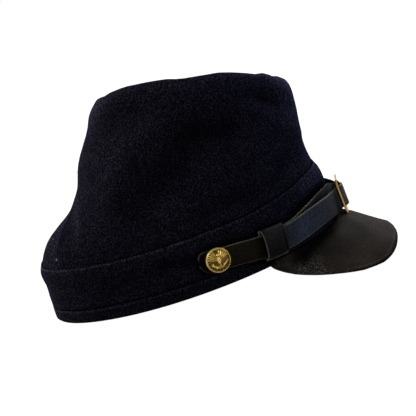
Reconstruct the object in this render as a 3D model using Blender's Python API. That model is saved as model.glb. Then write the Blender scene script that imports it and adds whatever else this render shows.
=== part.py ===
# Kepi: a soft wool cap with a leather peak, a two-piece leather chin strap, a slide buckle and two domed buttons.
# The hat frame is in millimetres: the rim plane is z = 0, the front is towards -Y, the wearer's right towards -X.
# A "turn" is an angle round the head band in degrees: 0 at the back, 90 at the wearer's right side, 180 in front.
# The cap is tipped at the end, to stand by itself on the back of its rim and the two corners of its peak.

from collections import namedtuple
from math import atan, cos, degrees, exp, hypot, pi, radians, sin, sqrt

import bmesh
import bpy
from mathutils import Matrix, Vector

MM = 0.001
GAP = 0.3                      # left between pieces that touch

# Head band
BAND_HALF_LENGTH = 102.0       # outside, front to back
BAND_HALF_WIDTH = 85.0         # outside, side to side
BAND_WALL = 2.6
BAND_HEIGHT = 36.0             # plain height; the seam above it rises to the front
# Crown and top
CROWN_WALL = 2.0
TOP_WALL = 2.0
TOP_SEAM_IN = 3.0              # the crown rolls over the top edge this far before it meets the top
TOP_LEAN = 4.1                 # the wearer's right edge of the top stands higher by this, the left edge lower
TOP_DISH = 2.5
# Peak
PEAK_SLOPE = 31.5              # degrees below the rim plane, in the middle
PEAK_SIDE_SLOPE = 44.0         # the same at its corners
PEAK_THICK = 2.0
PEAK_BASE_OUT = 1.35           # its middle surface starts this far outside the band
PEAK_BASE_HEIGHT = -0.3
# Chin strap
STRAP_WIDTH = 14.8
STRAP_THICK = 1.3
STRAP_PARED = 0.8              # the end that folds round the buckle's bar is pared thin
# Keeper, a leather sleeve round both layers of the strap
KEEPER_WALL = 1.3
KEEPER_FROM, KEEPER_TO = 115.0, 124.6      # turns of its two ends
KEEPER_MIDDLE_OUT = 3.8        # from the band to the middle between the two layers
# Slide buckle
BUCKLE_WIDTH, BUCKLE_HEIGHT, BUCKLE_THICK = 22.0, 26.6, 1.2
BUCKLE_SIDE_BAR, BUCKLE_MIDDLE_BAR = 2.5, 3.0
BUCKLE_SLOT_HEIGHT = 19.6
BUCKLE_PLACE = (0.0, -110.6, 10.9)
BUCKLE_TURN = 10.0             # degrees; its wearer's left side hangs further forward
BUCKLE_LEAN = 2.9              # degrees; its lower edge stands further forward
BUCKLE_CURL = 0.2              # slope of its upper edge, which curls forward
# Buttons
BUTTON_RADIUS = 8.0
BUTTON_TURN, BUTTON_HEIGHT = 98.5, 16.6
# Rest
PRESSED = 0.5                  # the cloth and the leather are flattened this much where they rest

AROUND = 60                    # facets round the head

Seam = namedtuple("Seam", "turn height")
SEAM = [                       # height of the seam between band and crown, the same on both sides
    Seam(0, 36.4), Seam(34, 35.9), Seam(58, 35.0), Seam(80, 34.2), Seam(100, 34.4),
    Seam(113, 34.2), Seam(130, 36.2), Seam(150, 39.6), Seam(165, 40.9), Seam(180, 41.2),
]

BandRow = namedtuple("BandRow", "height out front_out")
BAND_OUTSIDE = [               # from the rim up: hem, the stitched groove above it, the soft roll at the seam
    BandRow(-1.5, -0.9, -0.9), BandRow(-0.7, -0.1, -0.1), BandRow(6.5, 0.2, 0.2), BandRow(7.4, -0.25, -0.25),
    BandRow(8.3, 0.2, 0.2), BandRow(19.0, 0.3, 0.4), BandRow(28.0, 0.4, 0.5), BandRow(33.0, 0.3, -0.7),
    BandRow(36.0, -1.1, -3.1),
]
BAND_INSIDE = [BandRow(34.6, -3.3, -4.6), BandRow(18.0, -2.6, -2.6), BandRow(-0.7, -2.6, -2.6),
               BandRow(-1.5, -1.9, -1.9)]

CrownRow = namedtuple("CrownRow", "rise back_y back_z front_y front_z half_width side_z")
CROWN_ROWS = [                 # level lines of the crown's outside, from the seam to the top edge
    CrownRow(0.00, 100.8, 36.7, -98.8, 41.5, 83.9, 34.7),
    CrownRow(0.06, 97.0, 42.6, -97.8, 45.5, 84.0, 40.4),
    CrownRow(0.14, 90.5, 50.5, -97.0, 51.5, 83.0, 48.0),
    CrownRow(0.24, 81.5, 56.8, -97.0, 58.0, 80.8, 57.0),
    CrownRow(0.34, 72.3, 62.5, -98.0, 65.0, 78.2, 67.0),
    CrownRow(0.44, 65.3, 70.0, -99.0, 73.0, 75.6, 77.0),
    CrownRow(0.55, 60.0, 79.0, -100.0, 81.0, 72.8, 87.5),
    CrownRow(0.66, 54.6, 90.0, -100.4, 88.0, 70.0, 98.0),
    CrownRow(0.77, 48.0, 101.0, -100.5, 93.0, 67.4, 107.5),
    CrownRow(0.88, 39.8, 113.5, -99.6, 97.5, 65.0, 115.2),
    CrownRow(0.96, 32.4, 124.3, -97.6, 100.8, 63.2, 120.2),
    CrownRow(1.00, 27.4, 128.3, -94.8, 102.9, 61.6, 121.7),
]

Fold = namedtuple("Fold", "y0 z0 y1 z1 width out")
RIGHT_FOLDS = [                # side view: the two ends of each ridge (out) or valley (in) on the wearer's right
    Fold(-66, 105, -84, 92, 6.5, -2.4), Fold(-66, 97, -90, 68, 5.0, 1.6), Fold(-24, 88, -63, 74, 7.0, 2.0),
    Fold(-18, 96, -56, 86, 6.0, -2.0), Fold(-14, 79, 24, 71, 9.0, -3.2), Fold(24, 71, 37, 60, 8.0, -2.4),
    Fold(34, 104, 14, 96, 13.0, 2.2), Fold(-40, 72, 14, 56, 8.0, 2.2), Fold(-40, 50, -10, 48, 5.0, -2.0),
    Fold(-30, 42, -24, 41, 5.0, 0.8), Fold(55, 77, 65, 55, 5.0, 2.2), Fold(66, 73, 72, 56, 4.0, -1.4),
]
LEFT_FOLDS = [                 # the side that doesn't show: the same cloth, sagging more plainly
    Fold(-60, 103, -80, 94, 8.0, -1.6), Fold(-20, 84, -66, 78, 9.0, 1.6), Fold(-22, 64, 24, 72, 9.0, -2.4),
    Fold(30, 100, 10, 92, 12.0, 1.8), Fold(-36, 52, 16, 50, 8.0, 1.6), Fold(56, 76, 66, 56, 6.0, 1.6),
]

PeakRow = namedtuple("PeakRow", "across depth")
PEAK_ROWS = [                  # depth of the peak along its slope, at places across half its width
    PeakRow(0, 39.2), PeakRow(16, 41.4), PeakRow(34, 44.9), PeakRow(45, 47.6), PeakRow(55, 48.0), PeakRow(62, 45.0),
    PeakRow(68, 38.4), PeakRow(73, 29.0), PeakRow(76, 19.5), PeakRow(77.3, 9.5), PeakRow(78.0, 2.6),
]

Pass = namedtuple("Pass", "turn out height")
RIGHT_ON_BAND = [              # from the button's end, through the keeper, along the band to the front
    Pass(92.1, 1.5, 17.6), Pass(96.0, 1.5, 17.0), Pass(101.0, 1.5, 16.4), Pass(108.0, 1.9, 14.9),
    Pass(113.5, 2.8, 13.5), Pass(119.5, 3.0, 12.9), Pass(125.5, 2.9, 12.7), Pass(131.5, 1.9, 13.7),
    Pass(138.0, 1.5, 15.8), Pass(148.5, 1.5, 18.9), Pass(157.0, 1.6, 19.5), Pass(165.0, 2.1, 18.4),
]
LEFT_ON_BAND = [               # from the other button's end to the front
    Pass(-92.1, 1.5, 17.6), Pass(-96.0, 1.5, 17.0), Pass(-101.0, 1.5, 16.4), Pass(-110.0, 1.5, 15.3),
    Pass(-122.0, 1.5, 14.6), Pass(-135.0, 1.5, 15.0), Pass(-147.0, 1.5, 16.0), Pass(-157.0, 1.6, 16.6),
]
LEFT_OUTER_LAYER = [           # from the buckle back over the first layer, its end in the keeper
    Pass(162.0, 6.5, 14.6), Pass(154.0, 6.5, 15.5), Pass(147.0, 6.4, 15.3), Pass(140.0, 6.0, 14.6),
    Pass(133.0, 5.3, 13.5), Pass(127.5, 4.8, 12.6), Pass(123.5, 4.6, 12.4), Pass(117.5, 4.6, 13.1),
]

Plan = namedtuple("Plan", "x y height")
RIGHT_BESIDE_BUCKLE = [Plan(-15.5, -102.5, 16.8)]
RIGHT_TO_BUCKLE = [            # from here on y is measured from the buckle's middle, and turns with it
    Plan(-10.5, 4.7, 15.3), Plan(-7.0, 3.4, 14.2), Plan(-4.0, 2.2, 13.4), Plan(-1.6, 1.4, 13.0),
]
LEFT_BESIDE_BUCKLE = [Plan(21.0, -105.0, 14.8), Plan(14.5, -108.5, 13.1)]
LEFT_THROUGH_BUCKLE = [        # behind the side bar, over the middle bar, behind the other side bar
    Plan(9.9, 2.15, 12.0), Plan(8.1, 1.75, 11.5), Plan(6.6, 0.5, 11.2), Plan(5.4, -1.0, 11.1),
    Plan(4.0, -2.2, 11.0), Plan(2.2, -2.8, 11.0), Plan(0.0, -2.85, 11.0), Plan(-2.2, -2.8, 11.0),
    Plan(-4.0, -2.2, 11.0), Plan(-5.4, -1.0, 11.0), Plan(-6.6, 0.5, 11.1), Plan(-8.1, 1.7, 11.3),
    Plan(-9.9, 2.05, 11.6), Plan(-14.5, 2.2, 12.4), Plan(-20.5, 2.0, 13.5),
]

ButtonRow = namedtuple("ButtonRow", "radius height")
BUTTON_PROFILE = [             # from the middle of the dome over the raised rim to the middle of the back
    ButtonRow(0.0, 4.2), ButtonRow(0.9, 4.18), ButtonRow(1.7, 4.12), ButtonRow(2.5, 4.0), ButtonRow(3.3, 3.84),
    ButtonRow(4.1, 3.62), ButtonRow(4.9, 3.36), ButtonRow(5.6, 3.06), ButtonRow(6.3, 2.7), ButtonRow(6.7, 3.15),
    ButtonRow(7.4, 3.05), ButtonRow(8.0, 2.2), ButtonRow(7.4, 0.4), ButtonRow(0.0, 0.0),
]
Relief = namedtuple("Relief", "x y half_long half_wide turn lift")
BUTTON_RELIEF = [              # a spread bird in low relief: body, head, raised wings, tail, a sprig on each side
    Relief(0.0, -0.2, 2.1, 1.2, 90, 0.45), Relief(0.5, 2.9, 1.0, 0.9, 20, 0.40),
    Relief(2.8, 1.8, 2.9, 1.2, 52, 0.40), Relief(-2.8, 1.8, 2.9, 1.2, 128, 0.40),
    Relief(0.0, -3.6, 1.5, 1.3, 90, 0.35), Relief(3.2, -2.9, 1.9, 0.8, 35, 0.30),
    Relief(-3.2, -2.9, 1.9, 0.8, 145, 0.30),
]


def remove_everything():
    for item in list(bpy.data.objects):
        bpy.data.objects.remove(item, do_unlink=True)


def through(rows, key, column, at):
    """A smooth curve through one column of a table, read at a place along its key column."""
    x = [getattr(row, key) for row in rows]
    y = [getattr(row, column) for row in rows]
    if x[0] > x[-1]:
        x, at = [-value for value in x], -at
    last = len(x) - 1
    if at <= x[0]:
        return y[0]
    if at >= x[last]:
        return y[last]
    i = max(k for k in range(last) if x[k] <= at)

    def slope(k):
        before, after = max(k - 1, 0), min(k + 1, last)
        return (y[after] - y[before]) / (x[after] - x[before])

    span = x[i + 1] - x[i]
    s = (at - x[i]) / span
    return (y[i] * (1 + 2 * s) * (1 - s) ** 2 + y[i + 1] * s * s * (3 - 2 * s)
            + span * s * (1 - s) * ((1 - s) * slope(i) - s * slope(i + 1)))


def ease(low, high, value):
    s = min(max((value - low) / (high - low), 0.0), 1.0)
    return s * s * (3 - 2 * s)


def seam_height(turn):
    folded = abs((turn + 180) % 360 - 180)
    return through(SEAM, "turn", "height", folded)


def on_band(turn, out=0.0, height=0.0):
    """A point outside the head band's ellipse by a distance along its normal."""
    a = radians(turn)
    x, y = -BAND_HALF_WIDTH * sin(a), BAND_HALF_LENGTH * cos(a)
    normal = Vector((x / BAND_HALF_WIDTH ** 2, y / BAND_HALF_LENGTH ** 2, 0)).normalized()
    return Vector((x, y, height)) + normal * out


def outside_band(point):
    """How far a point stands outside the head band's ellipse, nearly."""
    f = hypot(point.x / BAND_HALF_WIDTH, point.y / BAND_HALF_LENGTH)
    slope = hypot(point.x / BAND_HALF_WIDTH ** 2, point.y / BAND_HALF_LENGTH ** 2) / max(f, 1e-6)
    return (f - 1) / slope


def sheet(across, along, place, close_across=True, close_along=True):
    """A grid bent into shape by place(u, v), whose opposite edges are welded where they meet."""
    bm = bmesh.new()
    bmesh.ops.create_grid(bm, x_segments=across, y_segments=along, size=1.0)
    for vert in bm.verts:
        vert.co = place((vert.co.x + 1) / 2, (vert.co.y + 1) / 2) * MM
    if close_across or close_along:
        bmesh.ops.remove_doubles(bm, verts=bm.verts[:], dist=0.000001)
    open_edges = [edge for edge in bm.edges if edge.is_boundary]
    if open_edges:
        bmesh.ops.holes_fill(bm, edges=open_edges, sides=0)
    bmesh.ops.recalc_face_normals(bm, faces=bm.faces[:])
    return bm


def material(name, colour, roughness, metallic=0.0):
    made = bpy.data.materials.new(name)
    made.use_nodes = True
    shader = made.node_tree.nodes["Principled BSDF"]
    shader.inputs["Base Color"].default_value = (*colour, 1.0)
    shader.inputs["Roughness"].default_value = roughness
    shader.inputs["Metallic"].default_value = metallic
    return made


def piece(name, bm, look, sharp=40.0):
    mesh = bpy.data.meshes.new(name)
    bm.to_mesh(mesh)
    bm.free()
    mesh.materials.append(look)
    mesh.shade_smooth()
    mesh.set_sharp_from_angle(angle=radians(sharp))
    made = bpy.data.objects.new(name, mesh)
    bpy.context.scene.collection.objects.link(made)
    return made


def band_sheet():
    rows = BAND_OUTSIDE + BAND_INSIDE

    def place(u, v):
        turn = 360 * u
        row = rows[round(v * len(rows)) % len(rows)]
        front = ease(0.35, 0.95, -cos(radians(turn)))
        share = row.height / BAND_HEIGHT
        height = row.height + (seam_height(turn) - BAND_HEIGHT) * share ** 2
        return on_band(turn, row.out + (row.front_out - row.out) * front, height)

    return sheet(AROUND, len(rows), place)


def fold_out(y, z, folds):
    """How far the folds lift the cloth at a place in the side view."""
    total = 0.0
    for fold in folds:
        dy, dz = fold.y1 - fold.y0, fold.z1 - fold.z0
        s = ((y - fold.y0) * dy + (z - fold.z0) * dz) / (dy * dy + dz * dz)
        near = min(max(s, 0.0), 1.0)
        away = hypot(y - fold.y0 - near * dy, z - fold.z0 - near * dz)
        total += fold.out * exp(-(away / fold.width) ** 2)
    return total


def crown_outside(turn, rise):
    a = radians(turn)
    row = {name: through(CROWN_ROWS, "rise", name, rise) for name in CrownRow._fields[1:]}
    mid_y, half_y = (row["back_y"] + row["front_y"]) / 2, (row["back_y"] - row["front_y"]) / 2
    mid_z, half_z = (row["back_z"] + row["front_z"]) / 2, (row["back_z"] - row["front_z"]) / 2
    z = mid_z + half_z * cos(a) + (row["side_z"] - mid_z) * abs(sin(a)) ** 2.3 + TOP_LEAN * rise ** 2 * sin(a) * abs(sin(a))
    if rise < 0.14:            # the lowest level follows the seam
        first = CROWN_ROWS[0]
        mid = (first.back_z + first.front_z) / 2
        plain = mid + (first.back_z - first.front_z) / 2 * cos(a) + (first.side_z - mid) * abs(sin(a)) ** 2.3
        z += (seam_height(turn) + GAP - plain) * (1 - rise / 0.14)
    point = Vector((-row["half_width"] * sin(a), mid_y + half_y * cos(a), z))
    side = ease(0.12, 0.62, abs(sin(a))) * ease(0.0, 0.08, rise) * ease(0.0, 0.06, 1 - rise)
    lift = fold_out(point.y, point.z, RIGHT_FOLDS if sin(a) > 0 else LEFT_FOLDS) * side
    return point + Vector((-sin(a), 0.4 * cos(a), 0.15)) * lift


def crown_inside(turn, rise, depth):
    point = crown_outside(turn, rise)
    along = crown_outside(turn + 1.0, rise) - crown_outside(turn - 1.0, rise)
    up = crown_outside(turn, min(rise + 0.02, 1.0)) - crown_outside(turn, max(rise - 0.02, 0.0))
    normal = along.cross(up).normalized()
    if normal.dot(point - Vector((0, -10, point.z))) < 0:
        normal = -normal
    return point - normal * depth


def inward(turn, distance, up):
    """A point of the crown's top edge moved towards the middle of the top."""
    edge = crown_outside(turn, 1.0)
    middle = Vector((0, (CROWN_ROWS[-1].back_y + CROWN_ROWS[-1].front_y) / 2, edge.z))
    return edge + (middle - edge).normalized() * distance + Vector((0, 0, up))


def crown_sheet():
    rises = [0.02, 0.05, 0.10, 0.15, 0.21, 0.27, 0.33, 0.39, 0.45, 0.51, 0.57, 0.63, 0.69, 0.75, 0.81, 0.87,
             0.92, 0.96, 1.0]
    inner = [0.97, 0.90, 0.82, 0.74, 0.66, 0.58, 0.50, 0.42, 0.34, 0.26, 0.18, 0.10, 0.03]
    rows = [("edge", 0.7)] + [("out", rise) for rise in rises]
    rows += [("roll", 0.9, 1.0), ("roll", TOP_SEAM_IN, 1.3), ("roll", TOP_SEAM_IN, -0.6)]
    rows += [("in", rise) for rise in inner] + [("edge", CROWN_WALL)]

    def place(u, v):
        turn = 360 * u
        row = rows[round(v * len(rows)) % len(rows)]
        if row[0] == "edge":
            bottom = crown_outside(turn, 0.0)
            return on_band(turn, outside_band(bottom) - row[1], bottom.z)
        if row[0] == "out":
            return crown_outside(turn, row[1])
        if row[0] == "roll":
            return inward(turn, row[1], row[2])
        return crown_inside(turn, row[1], CROWN_WALL)

    return sheet(AROUND, len(rows), place)


def top_sheet():
    rows = [(share, 1.1) for share in (0.0, 0.22, 0.44, 0.66, 0.86, 1.0)]
    rows += [(share, 1.1 - TOP_WALL) for share in (1.0, 0.7, 0.36, 0.0)]
    edge_y = (CROWN_ROWS[-1].back_y + CROWN_ROWS[-1].front_y) / 2
    edge_z = (CROWN_ROWS[-1].back_z + CROWN_ROWS[-1].front_z) / 2

    def place(u, v):
        turn = 360 * u
        share, up = rows[round(v * (len(rows) - 1))]
        edge = inward(turn, TOP_SEAM_IN + GAP, up)
        bend = (CROWN_ROWS[-1].side_z - edge_z) * abs(sin(radians(turn))) ** 2.3
        z = edge_z + up + (edge.z - up - bend - edge_z) * share + bend * share ** 2 - TOP_DISH * (1 - share ** 2)
        return Vector((edge.x * share, edge_y + (edge.y - edge_y) * share, z))

    return sheet(AROUND, len(rows) - 1, place, close_along=False)


def peak_sheet():
    wide, long = BAND_HALF_WIDTH + PEAK_BASE_OUT, BAND_HALF_LENGTH + PEAK_BASE_OUT
    end = PEAK_ROWS[-1].across / wide
    half = PEAK_THICK / 2
    rows = [(share, half) for share in (0.0, 0.12, 0.3, 0.5, 0.7, 0.87, 0.985)]
    rows += [(1.0, half * 0.45), (1.0, -half * 0.45)]
    rows += [(share, -half) for share in (0.985, 0.87, 0.7, 0.5, 0.3, 0.0)]

    def place(u, v):
        t = 2 * u - 1
        share_across = (1 - (1 - abs(t)) ** 1.45) * (1 if t > 0 else -1)
        across = wide * end * share_across
        y = -long * sqrt(1 - (across / wide) ** 2)
        rim = Vector((across, y, PEAK_BASE_HEIGHT))
        slope = radians(PEAK_SLOPE + (PEAK_SIDE_SLOPE - PEAK_SLOPE) * (across / PEAK_ROWS[-1].across) ** 2)
        down = Vector((0, -cos(slope), -sin(slope)))
        tangent = Vector((-y / long ** 2, across / wide ** 2, 0)).normalized()
        normal = down.cross(tangent).normalized()
        share, lift = rows[round(v * len(rows)) % len(rows)]
        start = -1.8
        while start < 0 and outside_band(rim + down * start + normal * lift) < 0.25 + GAP:
            start += 0.05
        depth = through(PEAK_ROWS, "across", "depth", abs(across))
        thin = ease(0.0, 8.0, depth)
        return rim + down * (start + (depth - start) * share) + normal * lift * (0.5 + 0.5 * thin)

    return sheet(34, len(rows), place, close_across=False)


def resample(controls, step):
    """Points of a smooth curve through the control points, about a step apart."""
    points = []
    for i in range(len(controls) - 1):
        p0, p1 = controls[max(i - 1, 0)], controls[i]
        p2, p3 = controls[i + 1], controls[min(i + 2, len(controls) - 1)]
        count = max(1, round((p2 - p1).length / step))
        for k in range(count):
            s = k / count
            points.append(0.5 * (2 * p1 + (p2 - p0) * s + (2 * p0 - 5 * p1 + 4 * p2 - p3) * s ** 2
                                 + (3 * p1 - p0 - 3 * p2 + p3) * s ** 3))
    return points + [controls[-1]]


def round_end(points):
    """Half widths that give a strap's first stations a round end, and the points moved to suit."""
    radius = STRAP_WIDTH / 2
    start, ahead = points[0], (points[1] - points[0]).normalized()
    steps = [0.3, 1.0, 2.3, 4.3]
    ends = [start + ahead * step for step in steps]
    widths = [sqrt(radius ** 2 - (radius - step) ** 2) for step in steps]
    rest = [p for p in points if (p - start).length > radius]
    return ends + [start + ahead * radius] + rest, widths + [radius] * (len(rest) + 1)


def strap_sheet(points, widths, thicks, leans):
    """A flat strap with eased edges along its stations; its width stands up, leaning by degrees."""
    ease_edge = 0.28

    def place(u, v):
        i = round(v * (len(points) - 1))
        ahead = (points[min(i + 1, len(points) - 1)] - points[max(i - 1, 0)]).normalized()
        side = Vector((ahead.y, -ahead.x, 0)).normalized()
        up = Vector((0, 0, cos(radians(leans[i])))) + Vector((0, 1, 0)) * sin(radians(leans[i]))
        up = (up - ahead * up.dot(ahead)).normalized()
        side = (side - up * side.dot(up)).normalized()
        w, t, e = widths[i], thicks[i] / 2, min(ease_edge, thicks[i] * 0.3)
        corners = [(-w, -t + e), (-w + e, -t), (w - e, -t), (w, -t + e),
                   (w, t - e), (w - e, t), (-w + e, t), (-w, t - e)]
        a, b = corners[round(u * 8) % 8]
        return points[i] + up * a + side * b

    return sheet(8, len(points) - 1, place, close_along=False)


def at_buckle(point):
    """A place measured from the buckle's middle, in the hat frame."""
    middle = Vector(BUCKLE_PLACE)
    turned = Matrix.Rotation(radians(-BUCKLE_TURN), 3, "Z") @ Vector((point[0], point[1], 0))
    return Vector((middle.x + turned.x, middle.y + turned.y, point[2]))


def buckle_lean_at(point):
    return BUCKLE_LEAN * ease(0.0, 1.0, 1 - (point - Vector(BUCKLE_PLACE)).length / 40)


def strap_right_sheet():
    controls = [on_band(*row) for row in RIGHT_ON_BAND] + [Vector(row) for row in RIGHT_BESIDE_BUCKLE]
    controls += [at_buckle(row) for row in RIGHT_TO_BUCKLE]
    points = resample(controls, 5.2)
    points, widths = round_end(points)
    thicks = [STRAP_THICK] * len(points)
    for i, point in enumerate(points):
        if point.x > -9 and point.y < -100:
            thicks[i] = STRAP_THICK + (STRAP_PARED - STRAP_THICK) * ease(-9.0, -2.6, point.x)
    radius = BUCKLE_THICK / 2 + GAP + STRAP_PARED / 2
    edge = BUCKLE_MIDDLE_BAR / 2 - 0.2
    height = RIGHT_TO_BUCKLE[-1].height
    loop = []
    for k in range(7):
        a = pi * k / 6
        loop.append(at_buckle((edge + radius * sin(a), radius * cos(a), height)))
    loop.append(at_buckle((-1.2, -radius, height)))
    points += loop
    widths += [STRAP_WIDTH / 2] * len(loop)
    thicks += [STRAP_PARED] * len(loop)
    return strap_sheet(points, widths, thicks, [buckle_lean_at(point) for point in points])


def strap_left_sheet():
    before = [on_band(*row) for row in LEFT_ON_BAND] + [Vector(row) for row in LEFT_BESIDE_BUCKLE]
    inside = [at_buckle(row) for row in LEFT_THROUGH_BUCKLE]
    after = [on_band(*row) for row in LEFT_OUTER_LAYER]
    points = resample(before + inside[:1], 5.2)[:-1] + inside[:-1] + resample(inside[-1:] + after, 5.2)
    points, widths = round_end(points)
    thicks = [STRAP_THICK] * len(points)
    return strap_sheet(points, widths, thicks, [buckle_lean_at(point) for point in points])


def keeper_sheet():
    """A sleeve whose back lies flat to the band and whose front bows out, more at its open end."""
    steps = 5
    rows = [(k / steps, 0.0) for k in range(steps + 1)] + [(k / steps, KEEPER_WALL) for k in range(steps, -1, -1)]
    facets = 24

    def place(u, v):
        along, inset = rows[round(v * len(rows)) % len(rows)]
        turn = KEEPER_FROM + (KEEPER_TO - KEEPER_FROM) * along
        a = 2 * pi * u
        tall = 9.85 - inset
        back = 3.25 - inset
        front = 5.3 + (3.4 - 5.3) * ease(0.0, 1.0, along) - inset
        power = 6.0 if cos(a) < 0 else 2.5 + 2.0 * ease(0.0, 1.0, along)
        c, s = abs(cos(a)), abs(sin(a))
        scale = (c ** power + s ** power) ** (-1 / power)
        out = KEEPER_MIDDLE_OUT + (front * c if cos(a) > 0 else -back * c) * scale
        height = 13.5 - 1.1 * along + tall * s * scale * (1 if sin(a) > 0 else -1)
        return on_band(turn, out, height)

    return sheet(facets, len(rows), place)


def relief_lift(x, y):
    """How far the stamped figure stands over the dome at a place on the button's face."""
    lift = 0.0
    for form in BUTTON_RELIEF:
        c, s = cos(radians(form.turn)), sin(radians(form.turn))
        along = ((x - form.x) * c + (y - form.y) * s) / form.half_long
        across = ((y - form.y) * c - (x - form.x) * s) / form.half_wide
        lift = max(lift, form.lift * exp(-(along ** 2 + across ** 2) ** 2))
    return lift


def button_sheet():
    rows = BUTTON_PROFILE

    def place(u, v):
        i = round(v * (len(rows) - 1))
        a = 2 * pi * u
        x, y = rows[i].radius * cos(a), rows[i].radius * sin(a)
        face = i <= 7
        return Vector((x, y, rows[i].height + (relief_lift(x, y) if face else 0.0)))

    return sheet(26, len(rows) - 1, place, close_along=False)


def make_button(name, turn, look):
    made = piece(name, button_sheet(), look)
    middle = on_band(turn, 1.5 + STRAP_THICK / 2 + GAP, BUTTON_HEIGHT)
    facing = on_band(turn, 10.0) - on_band(turn, 0.0)
    made.rotation_euler = facing.to_track_quat("Z", "Y").to_euler()
    made.location = middle * MM
    return made


def slot_cutter(name, x):
    width = (BUCKLE_WIDTH - 2 * BUCKLE_SIDE_BAR - BUCKLE_MIDDLE_BAR) / 2
    bm = bmesh.new()
    bmesh.ops.create_cube(bm, size=MM)
    bmesh.ops.scale(bm, vec=(width, BUCKLE_THICK * 6, BUCKLE_SLOT_HEIGHT), verts=bm.verts[:])
    upright = [edge for edge in bm.edges if abs((edge.verts[0].co - edge.verts[1].co).y) > MM]
    bmesh.ops.bevel(bm, geom=upright, offset=1.0 * MM, offset_type="OFFSET", segments=3, profile=0.5,
                    affect="EDGES", material=-1)
    bmesh.ops.translate(bm, vec=(x * MM, 0, 0), verts=bm.verts[:])
    mesh = bpy.data.meshes.new(name)
    bm.to_mesh(mesh)
    bm.free()
    made = bpy.data.objects.new(name, mesh)
    bpy.context.scene.collection.objects.link(made)
    made.hide_render = True
    made.display_type = "WIRE"
    return made


def make_buckle(look):
    """A stamped plate with two slots; its upper edge is curled a little forward."""
    bm = bmesh.new()
    bmesh.ops.create_cube(bm, size=MM)
    bmesh.ops.scale(bm, vec=(BUCKLE_WIDTH, BUCKLE_THICK, BUCKLE_HEIGHT), verts=bm.verts[:])
    upright = [edge for edge in bm.edges if abs((edge.verts[0].co - edge.verts[1].co).y) > 0.5 * MM]
    bmesh.ops.bevel(bm, geom=upright, offset=3.0 * MM, offset_type="OFFSET", segments=5, profile=0.5,
                    affect="EDGES", material=-1)
    bend = BUCKLE_SLOT_HEIGHT / 2 * MM
    bmesh.ops.bisect_plane(bm, geom=bm.verts[:] + bm.edges[:] + bm.faces[:], plane_co=(0, 0, bend), plane_no=(0, 0, 1))
    for vert in bm.verts:
        vert.co.y -= max(vert.co.z - bend, 0) * BUCKLE_CURL
    made = piece("buckle", bm, look)
    pitch = (BUCKLE_WIDTH - 2 * BUCKLE_SIDE_BAR + BUCKLE_MIDDLE_BAR) / 4
    for side, x in (("right", -pitch), ("left", pitch)):
        cutter = slot_cutter("buckle_slot_" + side, x)
        cutter.parent = made
        cut = made.modifiers.new("slot " + side, "BOOLEAN")
        cut.operation = "DIFFERENCE"
        cut.solver = "EXACT"
        cut.object = cutter
    soften = made.modifiers.new("eased edges", "BEVEL")
    soften.width = 0.25 * MM
    soften.segments = 1
    soften.limit_method = "ANGLE"
    soften.angle_limit = radians(50)
    made.location = Vector(BUCKLE_PLACE) * MM
    made.rotation_euler = (radians(-BUCKLE_LEAN), 0, radians(-BUCKLE_TURN))
    return made


def lowest(pieces, tilt):
    turned = Matrix.Rotation(-tilt, 3, "X")
    return min((turned @ vert.co).z for item in pieces for vert in item.data.vertices)


def rest_tilt(band, peak):
    """The tip of the cap at which the back of the rim and the corners of the peak touch one floor."""
    low, high = 0.0, radians(20)
    for _ in range(40):
        middle = (low + high) / 2
        if lowest([peak], middle) < lowest([band], middle):
            low = middle
        else:
            high = middle
    return (low + high) / 2


def press_flat(item, point, normal):
    """Flattens what would sink into the floor."""
    bm = bmesh.new()
    bm.from_mesh(item.data)
    geometry = bm.verts[:] + bm.edges[:] + bm.faces[:]
    bmesh.ops.bisect_plane(bm, geom=geometry, dist=0.0000005, plane_co=point, plane_no=normal, clear_inner=True)
    edges = [edge for edge in bm.edges if edge.is_boundary]
    bmesh.ops.holes_fill(bm, edges=edges, sides=0)
    bmesh.ops.recalc_face_normals(bm, faces=bm.faces[:])
    bm.to_mesh(item.data)
    bm.free()


def stand(pieces, band, peak):
    """Tips the cap onto its rim and peak, and centres it over the origin."""
    tilt = rest_tilt(band, peak)
    turned = Matrix.Rotation(-tilt, 3, "X")
    low = lowest([band], tilt)
    floor_point = turned.inverted() @ Vector((0, 0, low + PRESSED * MM))
    floor_normal = turned.inverted() @ Vector((0, 0, 1))
    for item in (band, peak):
        press_flat(item, floor_point, floor_normal)
    rest = bpy.data.objects.new("kepi", None)
    bpy.context.scene.collection.objects.link(rest)
    for item in pieces:
        item.parent = rest
    rest.rotation_euler = (-tilt, 0, 0)
    bpy.context.view_layer.update()
    graph = bpy.context.evaluated_depsgraph_get()
    corners = []
    for item in pieces:
        shape = item.evaluated_get(graph)
        corners += [item.matrix_world @ vert.co for vert in shape.data.vertices]
    middle = [(min(c[k] for c in corners) + max(c[k] for c in corners)) / 2 for k in (0, 1)]
    rest.location = (-middle[0], -middle[1], -(low + PRESSED * MM))
    bpy.context.view_layer.update()
    print("tilt", round(degrees(tilt), 3), "place", [round(value / MM, 3) for value in rest.location])


def main():
    remove_everything()
    wool = material("navy_wool", (0.012, 0.012, 0.026), 0.95)
    strap_leather = material("strap_leather", (0.016, 0.015, 0.017), 0.5)
    peak_leather = material("peak_leather", (0.020, 0.016, 0.014), 0.45)
    brass = material("brass", (0.62, 0.42, 0.14), 0.35, 1.0)

    band = piece("band", band_sheet(), wool)
    peak = piece("peak", peak_sheet(), peak_leather)
    pieces = [
        band,
        piece("crown", crown_sheet(), wool),
        piece("top", top_sheet(), wool),
        peak,
        piece("strap_right", strap_right_sheet(), strap_leather),
        piece("strap_left", strap_left_sheet(), strap_leather),
        piece("keeper", keeper_sheet(), strap_leather),
        make_button("button_right", BUTTON_TURN, brass),
        make_button("button_left", -BUTTON_TURN, brass),
        make_buckle(brass),
    ]
    stand(pieces, band, peak)


main()
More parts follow.
